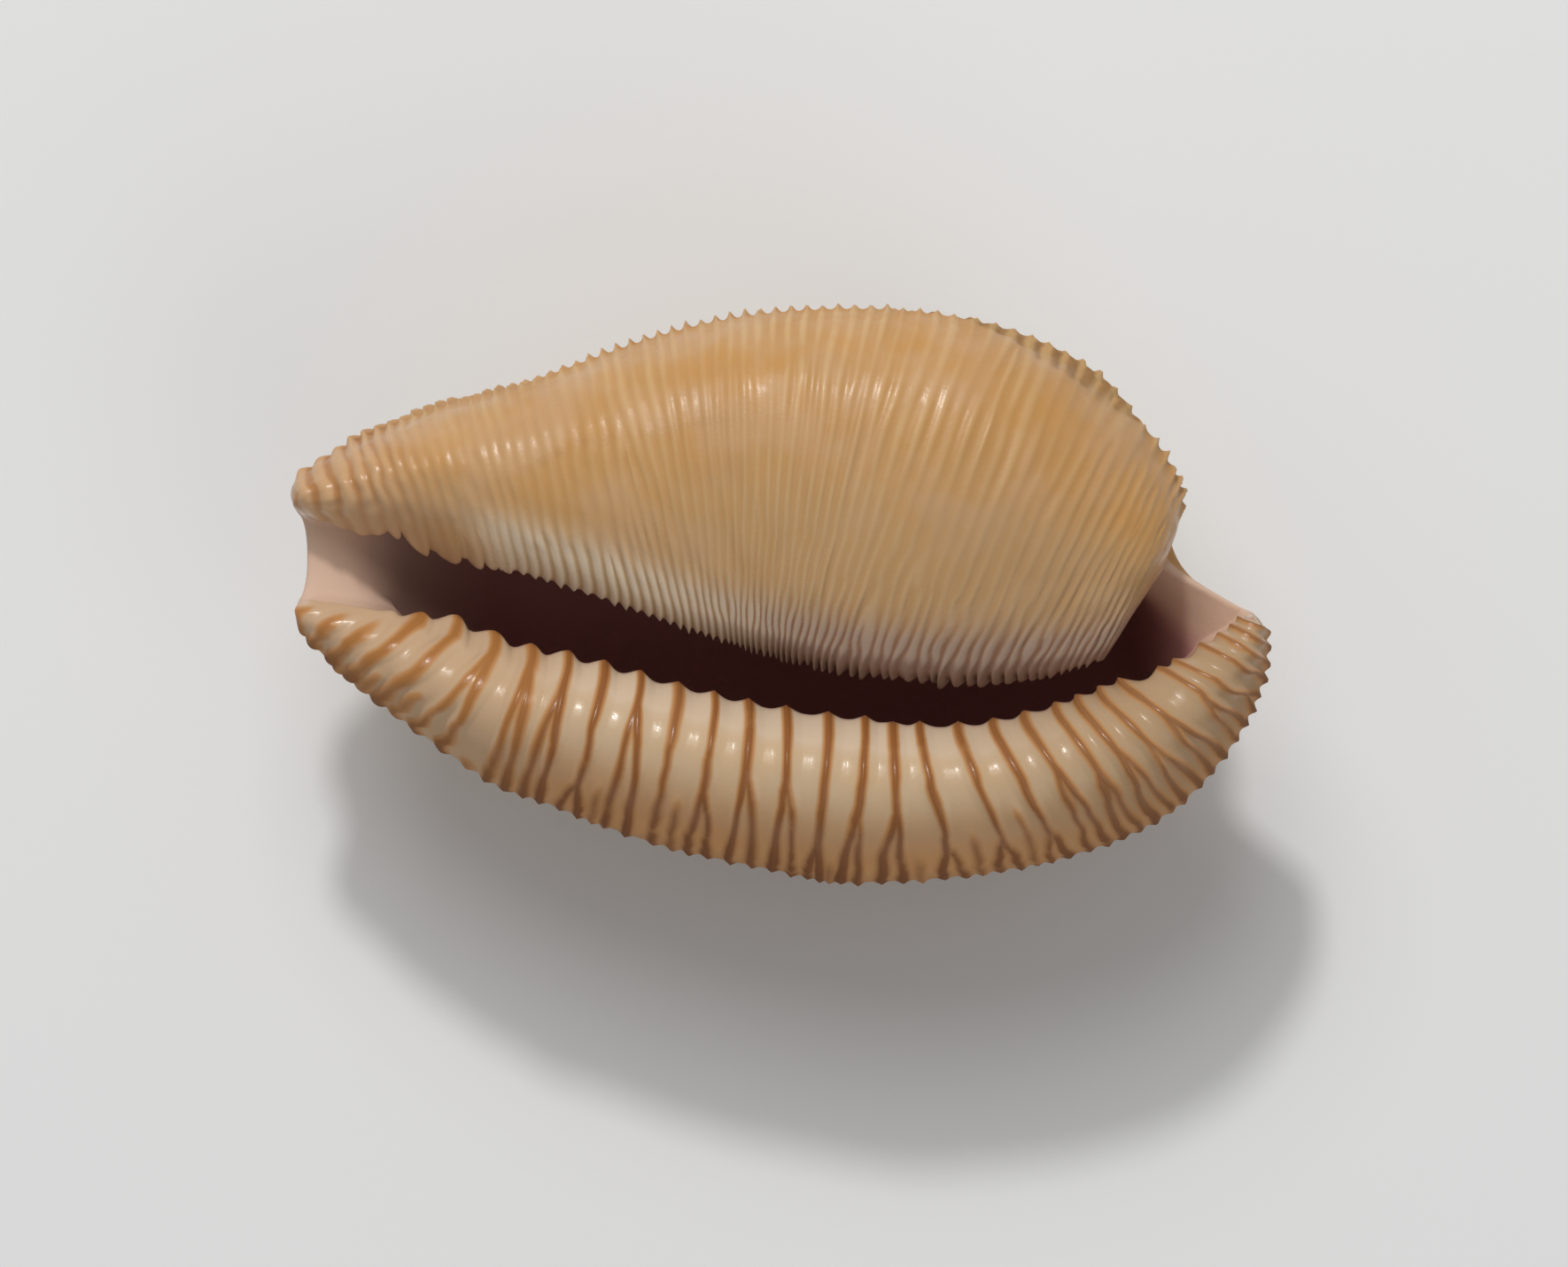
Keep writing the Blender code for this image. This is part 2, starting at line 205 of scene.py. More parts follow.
# The floors of the two canals: rib number, then the floor's columellar and labral sides. The canals
# pass into the hollow between the rib numbers of FRONT_CANAL and REAR_CANAL. UNDER_LIP is the angle
# at which their walls set out under the lips, and the middle of a floor sags by FLOOR_SAG.
FRONT_FLOOR = (
    (0.0, (-14.65, 2.2, -0.3), (-14.7, 0.3, -0.3)),
    (2.5, (-13.2, 2.1, -0.85), (-12.8, 0.25, -0.8)),
    (5.5, (-11.9, 2.0, -2.2), (-11.6, 0.0, -2.1)),
    (9.0, (-10.6, 1.8, -4.0), (-10.2, -0.4, -4.0)),
)
REAR_FLOOR = (
    (58.0, (8.8, -1.0, -5.0), (10.3, -2.9, -5.0)),
    (60.0, (9.8, -0.5, -3.4), (11.4, -2.2, -3.4)),
    (64.0, (10.9, 0.1, -1.8), (12.7, -1.5, -1.8)),
    (67.0, (11.5, 0.6, -0.95), (13.7, -0.9, -0.95)),
    (70.0, (11.85, 0.9, -0.5), (14.3, -0.3, -0.5)),
)
FRONT_CANAL = (9.0, 4.0)
REAR_CANAL = (58.0, 65.0)
UNDER_LIP = 0.35
FLOOR_SAG = 0.15

# The corners beside the mouth at both ends: how many ribs they are cut back by, over which share of
# the face and over how many ribs.
CORNER_CUT = 0.6
CORNER_PLACE = 0.4
CORNER_FADE = 4.0

# The fine ribs that are drawn are a few fewer than RIBS counts: how many of them lie in front of each
# section at its columellar margin.
FACE_RIBS = (0.0, 2.3, 4.8, 8.6, 17.2, 24.5, 34.1, 45.8, 51.2, 55.2, 58.4, 61.6, 64.0, 66.0)

# How finely the shell is drawn. The inner surface keeps every INNER_STEP-th column, and near both
# ends the columns that NEAR_END lists.
COLUMNS_PER_RIB = 12
COLUMNS = int(FACE_RIBS[-1]) * COLUMNS_PER_RIB + 1
INNER_STEP = 8
NEAR_END = (0, 1, 2, 3, 5)

# How many rows each part of the section has, and how much closer they lie towards its two ends.
COLUMELLAR_ROWS = (40, 0.6)
BACK_ROWS = (20, 0.4)
LABRAL_ROWS = (34, 0.45)
LIP_ROWS = 7

# How full the curve of a lip is, and the height of the hollow's middle line as shares of the height of
# the mouth and of the lowest height of the back.
LIP_FULLNESS = 0.55
HOLLOW_HEIGHT = (0.42, 0.46)

# The fine ribs, in millimetres: their height at the two margins, over the back and over the
# columellar face, where they stand higher by the share FRONT_RIB at the front end.
MARGIN_RIB = 0.19
LABRAL_MARGIN_RIB = 0.12
BACK_RIB = 0.10
FACE_RIB = 0.045
FRONT_RIB = 1.5

# The ribs are pinched at the margins by this power, and the outline is drawn in by a share of their
# height there, so that they stand out on both sides of it.
MARGIN_PINCH = 2.6
OUTLINE_SHARE = 0.3

# How much the ribs differ in height, how high the lumps are that make the face uneven, and how much
# the ribs differ in colour.
RIB_VARIETY = 0.5
UNEVEN = 0.06
RIB_SHADES = 0.22

# How far the ribs stray sideways, as a share of their spacing: on the columellar face and the back,
# beside the mouth, on the labral face and at the labral margin.
RIB_STRAY = 0.16
MOUTH_WAVER = 0.28
LABRAL_STRAY = 0.12
MARGIN_STRAY = 0.1

# Ribs of the columellar face that fork: how many, between which rib numbers and between which places
# of the section. FORK_LENGTH is how many rib spacings a whole face counts as in the shape of a fork.
FACE_FORKS = (
    (7, (20.0, 64.0), (0.05, 0.42)),
    (5, (48.0, 66.0), (0.5, 0.8)),
)
FORK_LENGTH = 9.0

# The ridges of the labrum: their height, how far they reach sideways at the mouth and further on, how
# sharply they are pointed, and how far their brown stripe reaches.
LABRAL_RIDGE = 0.13
RIDGE_FOOT = 0.50
RIDGE_REACH = 0.25
RIDGE_POINT = 1.4
STRIPE_REACH = 0.175

# The first ridges rise slowly from the mouth and the others stand in full there: (ridges, where they
# start), up to which ridge they rise slowly, and over which share of the way ribs rise.
FIRST_STARTS = ((3.0, 5.0, 6.0), (0.0, 0.0, -0.2))
LAST_SLOW_RIDGE = 5.2
SLOW_START = 0.35
QUICK_START = 0.12

# How quickly the two ribs of a forked ridge part, as a power.
FORK_SPREAD = 3.5

# The first ridges are broad, bowed folds with wider stripes, and the last ones stand higher and have
# thinner stripes: between which ridges this comes in, and by which shares.
FOLDED_RIDGES = (11.0, 7.0)
HIGH_RIDGES = (26.0, 30.0)
FOLD_STRIPE = 0.22
HIGH_STRIPE = -0.38
HIGH_RIDGE = 0.6

# Stripes of forks and free ribs are thinner, those of free ribs are paler, and all widen towards the
# margin by the share MARGIN_WIDENING.
SIDE_STRIPE = 0.8
FREE_STRIPE_DEPTH = 0.7
MARGIN_WIDENING = 0.8

# How wide the stripe is that runs on over the labral margin, as a share of the ribs' spacing.
OVER_MARGIN_STRIPE = 0.25

# How far along the shell each labral tooth stands, for the ridges from FIRST_LABRAL_TOOTH on. The
# ridges are drawn from FIRST_RIDGE on.
FIRST_RIDGE = 3
FIRST_LABRAL_TOOTH = 6
LABRAL_TOOTH_PLACES = (
    -11.2, -10.15, -8.97, -7.8, -6.5, -5.38, -4.29, -3.14, -2.05, -1.01, 0.11, 1.34,
    2.43, 3.28, 4.13, 5.36, 6.45, 7.4, 8.36, 9.02, 9.75, 10.52, 11.58,
)  # fmt: skip

# How many ribs further back the front ridges start than they end.
FRONT_RIDGE_LEAN = (0.2, 0.5)

# Where a ridge of the labrum forks into two ribs, as a share of the way from the mouth to the margin.
# The ridges that aren't named here fork at LATE_FORK, and those before and after the forks stay single.
RIDGE_FORKS = {
    8: 0.0, 9: 0.0, 10: 0.1, 12: 0.05, 14: 0.39, 15: 0.25, 16: 0.26, 18: 0.36, 19: 0.35,
    23: 0.21, 24: 0.31, 25: 0.25, 26: 0.3, 27: 0.22, 28: 0.3,
}  # fmt: skip
LATE_FORK = 0.56
SINGLE_RIDGES = (6, 7, 13)
FIRST_FORK = 6
LAST_FORK = 29

# Ribs that start by themselves between two ridges, and the share of the way at which they start.
FREE_RIBS = {
    5.5: 0.8, 6.5: 0.45, 7.5: 0.4, 8.5: 0.7, 11.5: 0.49, 13.5: 0.43, 17.5: 0.62, 19.5: 0.58, 20.5: 0.46,
    21.5: 0.34,
}  # fmt: skip

# How far each labral ridge's tooth reaches into the mouth, as (ridge, millimetres).
LABRAL_TEETH = (
    (0, 0.0), (4.4, 0.0), (6, 0.34), (8, 0.34), (11, 0.30), (14, 0.22), (18.3, 0.20), (18.6, 0.04),
    (19.4, 0.04), (19.6, 0.2), (24, 0.22), (28.4, 0.2), (29.5, 0.1), (34, 0.0),
)  # fmt: skip

# How far the columellar teeth reach into the mouth, as (rib number, millimetres).
COLUMELLAR_TEETH = (
    (0, 0.0), (9.5, 0.0), (12.5, 0.2), (40, 0.2), (54, 0.3), (60, 0.3), (66, 0.16), (69, 0.0),
)  # fmt: skip
TOOTH_VARIETY = 0.5

# The broad lobes of the columellar edge near both ends: place along the shell, reach and half width.
# LOBE_FULLNESS is the power that rounds their tips.
BROAD_LOBES = (
    (-12.75, 0.4, 0.75),
    (-11.85, 0.45, 0.2),
    (-11.2, 0.58, 0.36),
    (-10.2, 0.54, 0.36),
    (-9.4, 0.48, 0.24),
    (-8.9, 0.34, 0.2),
    (-8.45, 0.34, 0.2),
    (10.35, 0.3, 0.5),
)
LOBE_FULLNESS = 0.6

# How plainly the ribs of the columellar face stand out in relief and colour, along the shell.
RIB_CONTRAST = (
    (0.0, 0.9), (5.0, 0.55), (10.0, 0.15), (22.0, 0.2), (34.0, 0.4), (42.0, 0.5), (56.0, 0.4), (70.0, 0.45),
)  # fmt: skip

# A rougher, beaded strip runs along the columellar margin near the back end. It starts at SHOULDER,
# given as (rib number, place along the section), lies a step lower and stands up in beads. The back
# is tinted from there on. The tint ends at the place LABRAL_SHOULDER, near the labral margin.
SHOULDER = (
    (0.0, 1.4), (20.0, 1.3), (36.0, 1.2), (42.0, 1.06), (44.5, 0.96), (46.0, 0.87), (48.5, 0.79),
    (52.0, 0.73), (56.0, 0.71), (58.0, 0.76), (59.5, 0.87), (61.0, 1.0), (66.0, 1.25), (70.0, 1.4),
)  # fmt: skip
LABRAL_SHOULDER = 1.97
BEAD_HEIGHT = 0.16
SHOULDER_STEP = 0.05

# A faint growth line crosses the columellar face: its places along and across the shell, how far it
# reaches and how plain it is.
GROWTH_LINE = (
    (-8.6, 3.5), (-7.3, 4.1), (-6.0, 4.7), (-4.6, 5.1), (-3.0, 5.25), (-1.6, 5.3), (-0.6, 5.3),
)  # fmt: skip
GROWTH_LINE_REACH = 0.13
GROWTH_LINE_DEPTH = 0.3

# How far from the edge of the mouth the teeth begin, how much the lips lean into the mouth, and how
# far from the mouth the colours of its two edges fade.
TOOTH_ROOT = 1.1
LIP_LEAN = 0.15
COLUMELLAR_FADE = 1.2
LABRAL_FADE = 0.5

# The grid of random values that noise() reads repeats after so many steps.
LATTICE = (97, 89)


def noise(seed, x, y):
    """Smooth random values from -1 to 1 at the points x, y, where lumps are about 1 wide."""
    lattice = np.random.default_rng(seed).uniform(-1.0, 1.0, LATTICE)
    x0 = np.floor(x).astype(int)
    y0 = np.floor(y).astype(int)
    fx = x - x0
    fy = y - y0
    fx = fx * fx * (3.0 - 2.0 * fx)
    fy = fy * fy * (3.0 - 2.0 * fy)

    def corner(right, up):
        return lattice[(x0 + right) % LATTICE[0], (y0 + up) % LATTICE[1]]

    low = corner(0, 0) * (1.0 - fx) + corner(1, 0) * fx
    high = corner(0, 1) * (1.0 - fx) + corner(1, 1) * fx
    return low * (1.0 - fy) + high * fy


def ease(low, high, value):
    """0 below low, 1 above high and a smooth step between them. It runs down if low is above high."""
    share = np.clip((value - low) / (high - low), 0.0, 1.0)
    return share * share * (3.0 - 2.0 * share)


def smooth_curve(knots, values, at):
    """The smooth curve through values at knots (a natural cubic spline), read at the places at."""
    knots = np.asarray(knots, float)
    values = np.asarray(values, float)
    gaps = np.diff(knots)
    count = len(knots)
    system = np.eye(count)
    right = np.zeros_like(values)
    for i in range(1, count - 1):
        system[i, i - 1] = gaps[i - 1]
        system[i, i] = 2.0 * (gaps[i - 1] + gaps[i])
        system[i, i + 1] = gaps[i]
        steps = (values[i + 1] - values[i]) / gaps[i] - (values[i] - values[i - 1]) / gaps[i - 1]
        right[i] = 6.0 * steps
    bends = np.linalg.solve(system, right)
    place = np.clip(np.searchsorted(knots, at) - 1, 0, count - 2)
    gap = gaps[place]
    after = (at - knots[place]) / gap
    if values.ndim == 2:
        gap = gap[:, None]
        after = after[:, None]
    before = 1.0 - after
    bend = (before**3 - before) * bends[place] + (after**3 - after) * bends[place + 1]
    return before * values[place] + after * values[place + 1] + bend * gap**2 / 6.0


def sections_at(ribs):
    """The shape of the section at each rib number, as named curves along the shell."""
    guides = {
        "mouth_c": MOUTH_C,
        "margin_c": MARGIN_C,
        "crest_c": CREST_C,
        "mouth_l": MOUTH_L,
        "margin_l": MARGIN_L,
        "crest_l": CREST_L,
        "back": BACK,
    }
    return {name: smooth_curve(RIBS, guide, ribs) for name, guide in guides.items()}


def face_point(mouth, margin, crest, along):
    """A point of a face that rises from the mouth (along = 0) to its crest and rolls to its margin (1)."""
    share = crest[..., 0]
    rise = crest[..., 1] - margin[..., 2]
    start = np.arccos(np.clip((mouth[..., 2] - margin[..., 2]) / rise, 0.0, 0.999))
    angle = -start + along * (start + 0.5 * math.pi)
    reach = np.where(angle < 0.0, share / np.sin(start), 1.0 - share)
    fuller = 1.0 + crest[..., 2] * np.sin(2.0 * np.maximum(angle, 0.0)) ** 2
    part = (share + reach * np.sin(angle) * fuller)[..., None]
    point = mouth + part * (margin - mouth)
    point[..., 2] = margin[..., 2] + rise * np.cos(angle) * fuller
    return point


def back_point(margin_c, margin_l, back, along):
    """A point of the back, from the columellar margin (along = 0) under the shell to the labral one (1)."""
    angle = math.pi * along
    power = 2.0 / BACK_ROUNDNESS
    across = math.copysign(abs(math.cos(angle)) ** power, math.cos(angle))
    down = abs(math.sin(angle)) ** power
    chord = margin_c - margin_l
    point = 0.5 * (margin_c + margin_l) + 0.5 * across * chord
    inward = np.stack([-chord[..., 1], chord[..., 0]], axis=-1)
    inward *= np.sign(margin_c[..., :1]) / np.linalg.norm(inward, axis=-1, keepdims=True)
    point[..., :2] += down * back[..., 1:] * inward
    point += BACK_LEAN * down * chord
    level = margin_c[..., 2] + along * (margin_l[..., 2] - margin_c[..., 2])
    point[..., 2] = level - down * (level - back[..., 0])
    return point


def outer_rows(ribs, places):
    """The outer surface: one row of points for each place along the section.

    Beside the mouth the rows start a little further in, which rounds the corners of both ends.
    """
    rows = []
    for place in places:
        beside_mouth = ease(CORNER_PLACE, 0.0, min(place, 3.0 - place))
        near_end = np.clip(1.0 - np.minimum(ribs, RIBS[-1] - ribs) / CORNER_FADE, 0.0, 1.0) ** 2
        inward = np.where(ribs < 0.5 * RIBS[-1], 1.0, -1.0)
        shape = sections_at(ribs + CORNER_CUT * beside_mouth * near_end * inward)
        if place < 1.0:
            rows.append(face_point(shape["mouth_c"], shape["margin_c"], shape["crest_c"], place))
        elif place < 2.0:
            rows.append(back_point(shape["margin_c"], shape["margin_l"], shape["back"], place - 1.0))
        else:
            rows.append(face_point(shape["mouth_l"], shape["margin_l"], shape["crest_l"], 3.0 - place))
    return np.array(rows)


def unit(vectors):
    return vectors / np.linalg.norm(vectors, axis=-1, keepdims=True)


def normals_of(rows):
    """The direction out of the surface at each point of the outer rows."""
    return unit(np.cross(np.gradient(rows, axis=1), np.gradient(rows, axis=0)))


def cavity_axis(shape):
    """The middle line of the hollow, which the wall's thickness is measured towards."""
    middle = 0.5 * (shape["margin_c"] + shape["margin_l"])
    mouth = 0.5 * (shape["mouth_c"] + shape["mouth_l"])
    axis = 0.5 * (middle + mouth)
    axis[..., 2] = HOLLOW_HEIGHT[0] * mouth[..., 2] + HOLLOW_HEIGHT[1] * shape["back"][..., 0]
    return axis


def canal_rows(outer, places, ribs, floor):
    """The inner surface of a canal: from each lip down to the floor's side, and level between the sides."""
    numbers = [rib for rib, _, _ in floor]
    sides = []
    for side in (1, 2):
        corners = np.array([row[side] for row in floor])
        sides.append(np.stack([np.interp(ribs, numbers, corners[:, k]) for k in range(3)], axis=-1))
    rows = []
    for place in places:
        if 1.0 <= place <= 2.0:
            point = sides[0] + (place - 1.0) * (sides[1] - sides[0])
            point[:, 2] -= FLOOR_SAG * math.sin(math.pi * (place - 1.0))
        else:
            lip, side = (outer[0], sides[0]) if place < 1.0 else (outer[-1], sides[1])
            angle = UNDER_LIP + min(place, 3.0 - place) * (0.5 * math.pi - UNDER_LIP)
            point = lip + (1.0 - math.cos(angle)) * (side - lip)
            point[:, 2] = lip[:, 2] + math.sin(angle) * (side[:, 2] - lip[:, 2])
        rows.append(point)
    return np.array(rows)


def inner_rows(outer, places, shape, ribs):
    """The inner surface: each outer point moved in by the wall's thickness, and the two canals."""
    walls = np.interp(places, *zip(*WALL))
    rows = outer + unit(cavity_axis(shape)[None] - outer) * walls[:, None, None]
    for (hollow, canal), floor in ((FRONT_CANAL, FRONT_FLOOR), (REAR_CANAL, REAR_FLOOR)):
        share = ease(hollow, canal, ribs)[None, :, None]
        rows = rows + share * (canal_rows(outer, places, ribs, floor) - rows)
    return rows


def lip_rows(start, before, end, after):
    """The rounded edge of a lip: rows from start to end, which leave both surfaces smoothly."""
    reach = LIP_FULLNESS * np.linalg.norm(end - start, axis=-1, keepdims=True)
    leave = start + reach * unit(start - before)
    arrive = end + reach * unit(end - after)
    rows = []
    for step in range(1, LIP_ROWS + 1):
        t = step / (LIP_ROWS + 1)
        row = (1 - t) ** 3 * start + 3 * t * (1 - t) ** 2 * leave
        rows.append(row + 3 * t**2 * (1 - t) * arrive + t**3 * end)
    return np.array(rows)


def rim_closing(outer, inner):
    """How far each point draws in to the middle of the wall, which rounds the rims of the two canals.

    It is 1 at both ends of the shell, and 0 from half the wall's thickness on.
    """
    closing = np.zeros(outer.shape[:2])
    for way in (slice(None), slice(None, None, -1)):
        line = outer[:, way]
        steps = np.linalg.norm(np.diff(line, axis=1), axis=-1)
        run = np.concatenate([np.zeros((len(line), 1)), np.cumsum(steps, axis=1)], axis=1)
        radius = 0.5 * np.linalg.norm(inner[:, way][:, :1] - line[:, :1], axis=-1)
        share = np.clip(1.0 - run / radius, 0.0, 1.0)
        closing[:, way] = np.maximum(closing[:, way], 1.0 - np.sqrt(1.0 - share**2))
    return closing


def steps_of(count, closer, last=False):
    """Places from 0 to 1 that lie closer together towards both ends."""
    even = np.linspace(0.0, 1.0, count, endpoint=last)
    return even - closer * np.sin(2.0 * math.pi * even) / (2.0 * math.pi)


def row_places():
    """Where the rows lie along a section: 0 to 1 columellar face, 1 to 2 back, 2 to 3 labral face."""
    face_c = steps_of(*COLUMELLAR_ROWS)
    back = 1.0 + steps_of(*BACK_ROWS)
    face_l = 2.0 + steps_of(*LABRAL_ROWS, last=True)
    return np.concatenate([face_c, back, face_l])


# --- The ribs of the labrum ---


def labral_strands():
    """The ribs that cross the labral margin, in order, as (ridge, side, start of the rib or fork)."""
    strands = []
    for ridge in range(FIRST_RIDGE, int(RIDGES[-1]) + 1):
        fork = RIDGE_FORKS.get(ridge, LATE_FORK)
        if ridge in SINGLE_RIDGES or not FIRST_FORK <= ridge <= LAST_FORK:
            strands.append((ridge, 0, 0.0))
        else:
            strands.append((ridge, -1, fork))
            strands.append((ridge, 1, fork))
        if ridge + 0.5 in FREE_RIBS:
            strands.append((ridge + 0.5, 0, FREE_RIBS[ridge + 0.5]))
    return strands


def ridge_lines(ribs, shape):
    """The numbers of the labral ridges, and the rib number of each at the mouth and at the margin."""
    ridges = np.arange(FIRST_RIDGE, RIDGES[-1] + 1.0)
    at_margin = smooth_curve(RIDGES, np.array(RIBS), ridges)
    at_mouth = at_margin.copy()
    edge = shape["mouth_l"][:, 0] + LIP_LEAN * (shape["mouth_c"] - shape["mouth_l"])[:, 0]
    first = FIRST_LABRAL_TOOTH - FIRST_RIDGE
    named = slice(first, first + len(LABRAL_TOOTH_PLACES))
    at_mouth[named] = np.interp(LABRAL_TOOTH_PLACES, edge, ribs)
    at_mouth[1:first] += FRONT_RIDGE_LEAN
    return ridges, at_mouth, at_margin


def strand_path(strand, margin_ridge, lines, towards_margin):
    """The rib number that a rib of the labrum follows from the mouth to the margin."""
    ridge, side, start = strand
    ridges, at_mouth, at_margin = lines
    if side == 0 and start == 0.0:
        share = ease(0.3, 1.0, towards_margin)
    elif side == 0:
        share = np.ones(len(towards_margin))
    else:
        after = np.clip((towards_margin - start) / (1.0 - start), 0.0, 1.0)
        share = 1.0 - (1.0 - after) ** FORK_SPREAD
    at_ridge = ridge + (margin_ridge - ridge) * share
    top = np.interp(at_ridge, ridges, at_mouth)
    home = np.interp(at_ridge, ridges, at_margin)
    straight = ease(-0.1, 0.9, towards_margin)
    bowed = 1.0 - (1.0 - towards_margin) ** 2
    return top + (home - top) * (straight + (bowed - straight) * ease(*FOLDED_RIDGES, ridge))


def strand_presence(strand, towards_margin):
    """0 before a rib of the labrum starts and 1 where it stands in full."""
    ridge, side, start = strand
    if side == 0 and start > 0.0:
        begin = start
    else:
        begin = np.interp(ridge, *FIRST_STARTS)
    length = SLOW_START if ridge < LAST_SLOW_RIDGE else QUICK_START
    return ease(begin, begin + length, towards_margin)


def strand_relief(ridge, distance, towards_margin):
    """The height of a rib of the labrum, at a distance in millimetres from its path."""
    reach = RIDGE_REACH + (RIDGE_FOOT - RIDGE_REACH) * ease(0.6, 0.05, towards_margin)[:, None]
    pointed = np.clip(1.0 - distance / reach, 0.0, 1.0) ** RIDGE_POINT
    folded = np.clip(1.0 - (distance / (1.1 * reach)) ** 2, 0.0, 1.0)
    level = LABRAL_RIDGE + (LABRAL_MARGIN_RIB - LABRAL_RIDGE) * ease(0.62, 0.98, towards_margin)
    level *= 1.0 + HIGH_RIDGE * ease(*HIGH_RIDGES, ridge)
    return (pointed + (folded - pointed) * ease(*FOLDED_RIDGES, ridge)) * level[:, None]


def strand_stripe(strand, number, distance, towards_margin):
    """The brown stripe on a rib of the labrum, from 0 to about 1."""
    ridge, side, start = strand
    free = side == 0 and start > 0.0
    band = STRIPE_REACH * (SIDE_STRIPE if free or side else 1.0)
    band *= 1.0 + FOLD_STRIPE * ease(*FOLDED_RIDGES, ridge) + HIGH_STRIPE * ease(*HIGH_RIDGES, ridge)
    waver = 1.0 + 0.25 * noise(7, towards_margin * 7.0, np.full(len(towards_margin), number * 1.7))
    waver *= 1.0 + MARGIN_WIDENING * ease(0.5, 0.95, towards_margin)
    depth = (FREE_STRIPE_DEPTH if free else 1.0) * (1.0 + 0.12 * math.sin(number * 3.7))
    return depth * np.exp(-((distance / (band * waver[:, None])) ** 2))


def labral_marks(ribs, lines, rib_gap, towards_margin):
    """The relief and the pigment of the labral face, and the rib number of each of its ribs at the margin.

    rib_gap is how many millimetres one rib number spans, and towards_margin is 0 at the mouth.
    """
    ridges, _, at_margin = lines
    strands = labral_strands()
    numbers = np.arange(len(strands), dtype=float)
    strand_ridge = np.array([ridge for ridge, _, _ in strands])
    middle = [numbers[strand_ridge == ridge].mean() for ridge in ridges]
    margin_ribs = np.interp(numbers, middle, at_margin)
    margin_ribs += MARGIN_STRAY * noise(3, numbers * 0.9, numbers * 0.0)

    relief = np.zeros(rib_gap.shape)
    pigment = np.zeros(rib_gap.shape)
    stray = noise(5, ribs[None] * 0.25, towards_margin[:, None] * 5.0)
    stray += 0.6 * noise(6, ribs[None] * 0.4, towards_margin[:, None] * 13.0)
    stray = LABRAL_STRAY * stray * ease(0.05, 0.3, towards_margin)[:, None]
    for number, strand in enumerate(strands):
        margin_ridge = np.interp(margin_ribs[number], at_margin, ridges)
        path = strand_path(strand, margin_ridge, lines, towards_margin)
        distance = np.abs(ribs[None] - path[:, None] + stray) * rib_gap
        present = strand_presence(strand, towards_margin)[:, None]
        strength = 1.0 + 0.18 * math.sin(number * 2.4)
        relief = np.maximum(relief, present * strength * strand_relief(strand[0], distance, towards_margin))
        pigment = np.maximum(pigment, present * strand_stripe(strand, number, distance, towards_margin))
    return relief, pigment, margin_ribs


# --- The ribs of the columellar face and the back ---


def rib_numbers(ribs, places, margin_ribs):
    """The number of the drawn rib at each point of the columellar face and the back.

    Each fork adds one rib between it and the mouth. Over the back the numbers run to the labral ones.
    """
    across = places[:, None]
    along = np.broadcast_to(ribs[None], (len(places), len(ribs)))
    chance = np.random.default_rng(11)
    forks = []
    for count, rib_range, place_range in FACE_FORKS:
        forks += [(chance.uniform(*rib_range), chance.uniform(*place_range)) for _ in range(count)]
    extra = np.zeros(along.shape)
    at_margin = np.zeros(len(ribs))
    for fork_rib, fork_place in forks:
        extra -= np.arctan2(along - fork_rib, (across - fork_place) * FORK_LENGTH) / (2.0 * math.pi)
        at_margin -= np.arctan2(ribs - fork_rib, (1.0 - fork_place) * FORK_LENGTH) / (2.0 * math.pi)
    stray = RIB_STRAY * noise(21, along * 0.5, across * 7.0)
    waver = MOUTH_WAVER * noise(23, along * 0.8, across * 24.0)
    face = smooth_curve(RIBS, FACE_RIBS, ribs)
    on_face = along + extra - at_margin[None] + stray * ease(0.0, 0.1, across) * ease(1.0, 0.8, across)
    on_face += waver * ease(0.3, 0.15, across) * ease(24.0, 36.0, ribs)[None]
    on_face += face - ribs
    labral = np.interp(ribs, margin_ribs, np.arange(len(margin_ribs), dtype=float))
    on_back = face[None] + stray * ease(2.0, 1.7, across) * ease(1.0, 1.2, across)
    on_back += ease(1.0, 2.0, across) * (labral - face)[None]
    return np.where(across < 1.0, on_face, on_back)


def rib_contrast(across, ribs):
    """How plainly the ribs show at each point, from 0 to 1: as RIB_CONTRAST on the face, and 1 beyond."""
    plain = np.interp(ribs, *zip(*RIB_CONTRAST))[None]
    beside_mouth = ease(0.22, 0.05, across) * ease(8.0, 20.0, ribs)[None]
    plain = plain + (0.75 - plain) * beside_mouth
    plain *= 1.0 - 0.6 * ease(0.35, 0.1, across) * ease(12.0, 5.0, ribs)[None]
    return plain + (1.0 - plain) * ease(0.6, 1.0, across)


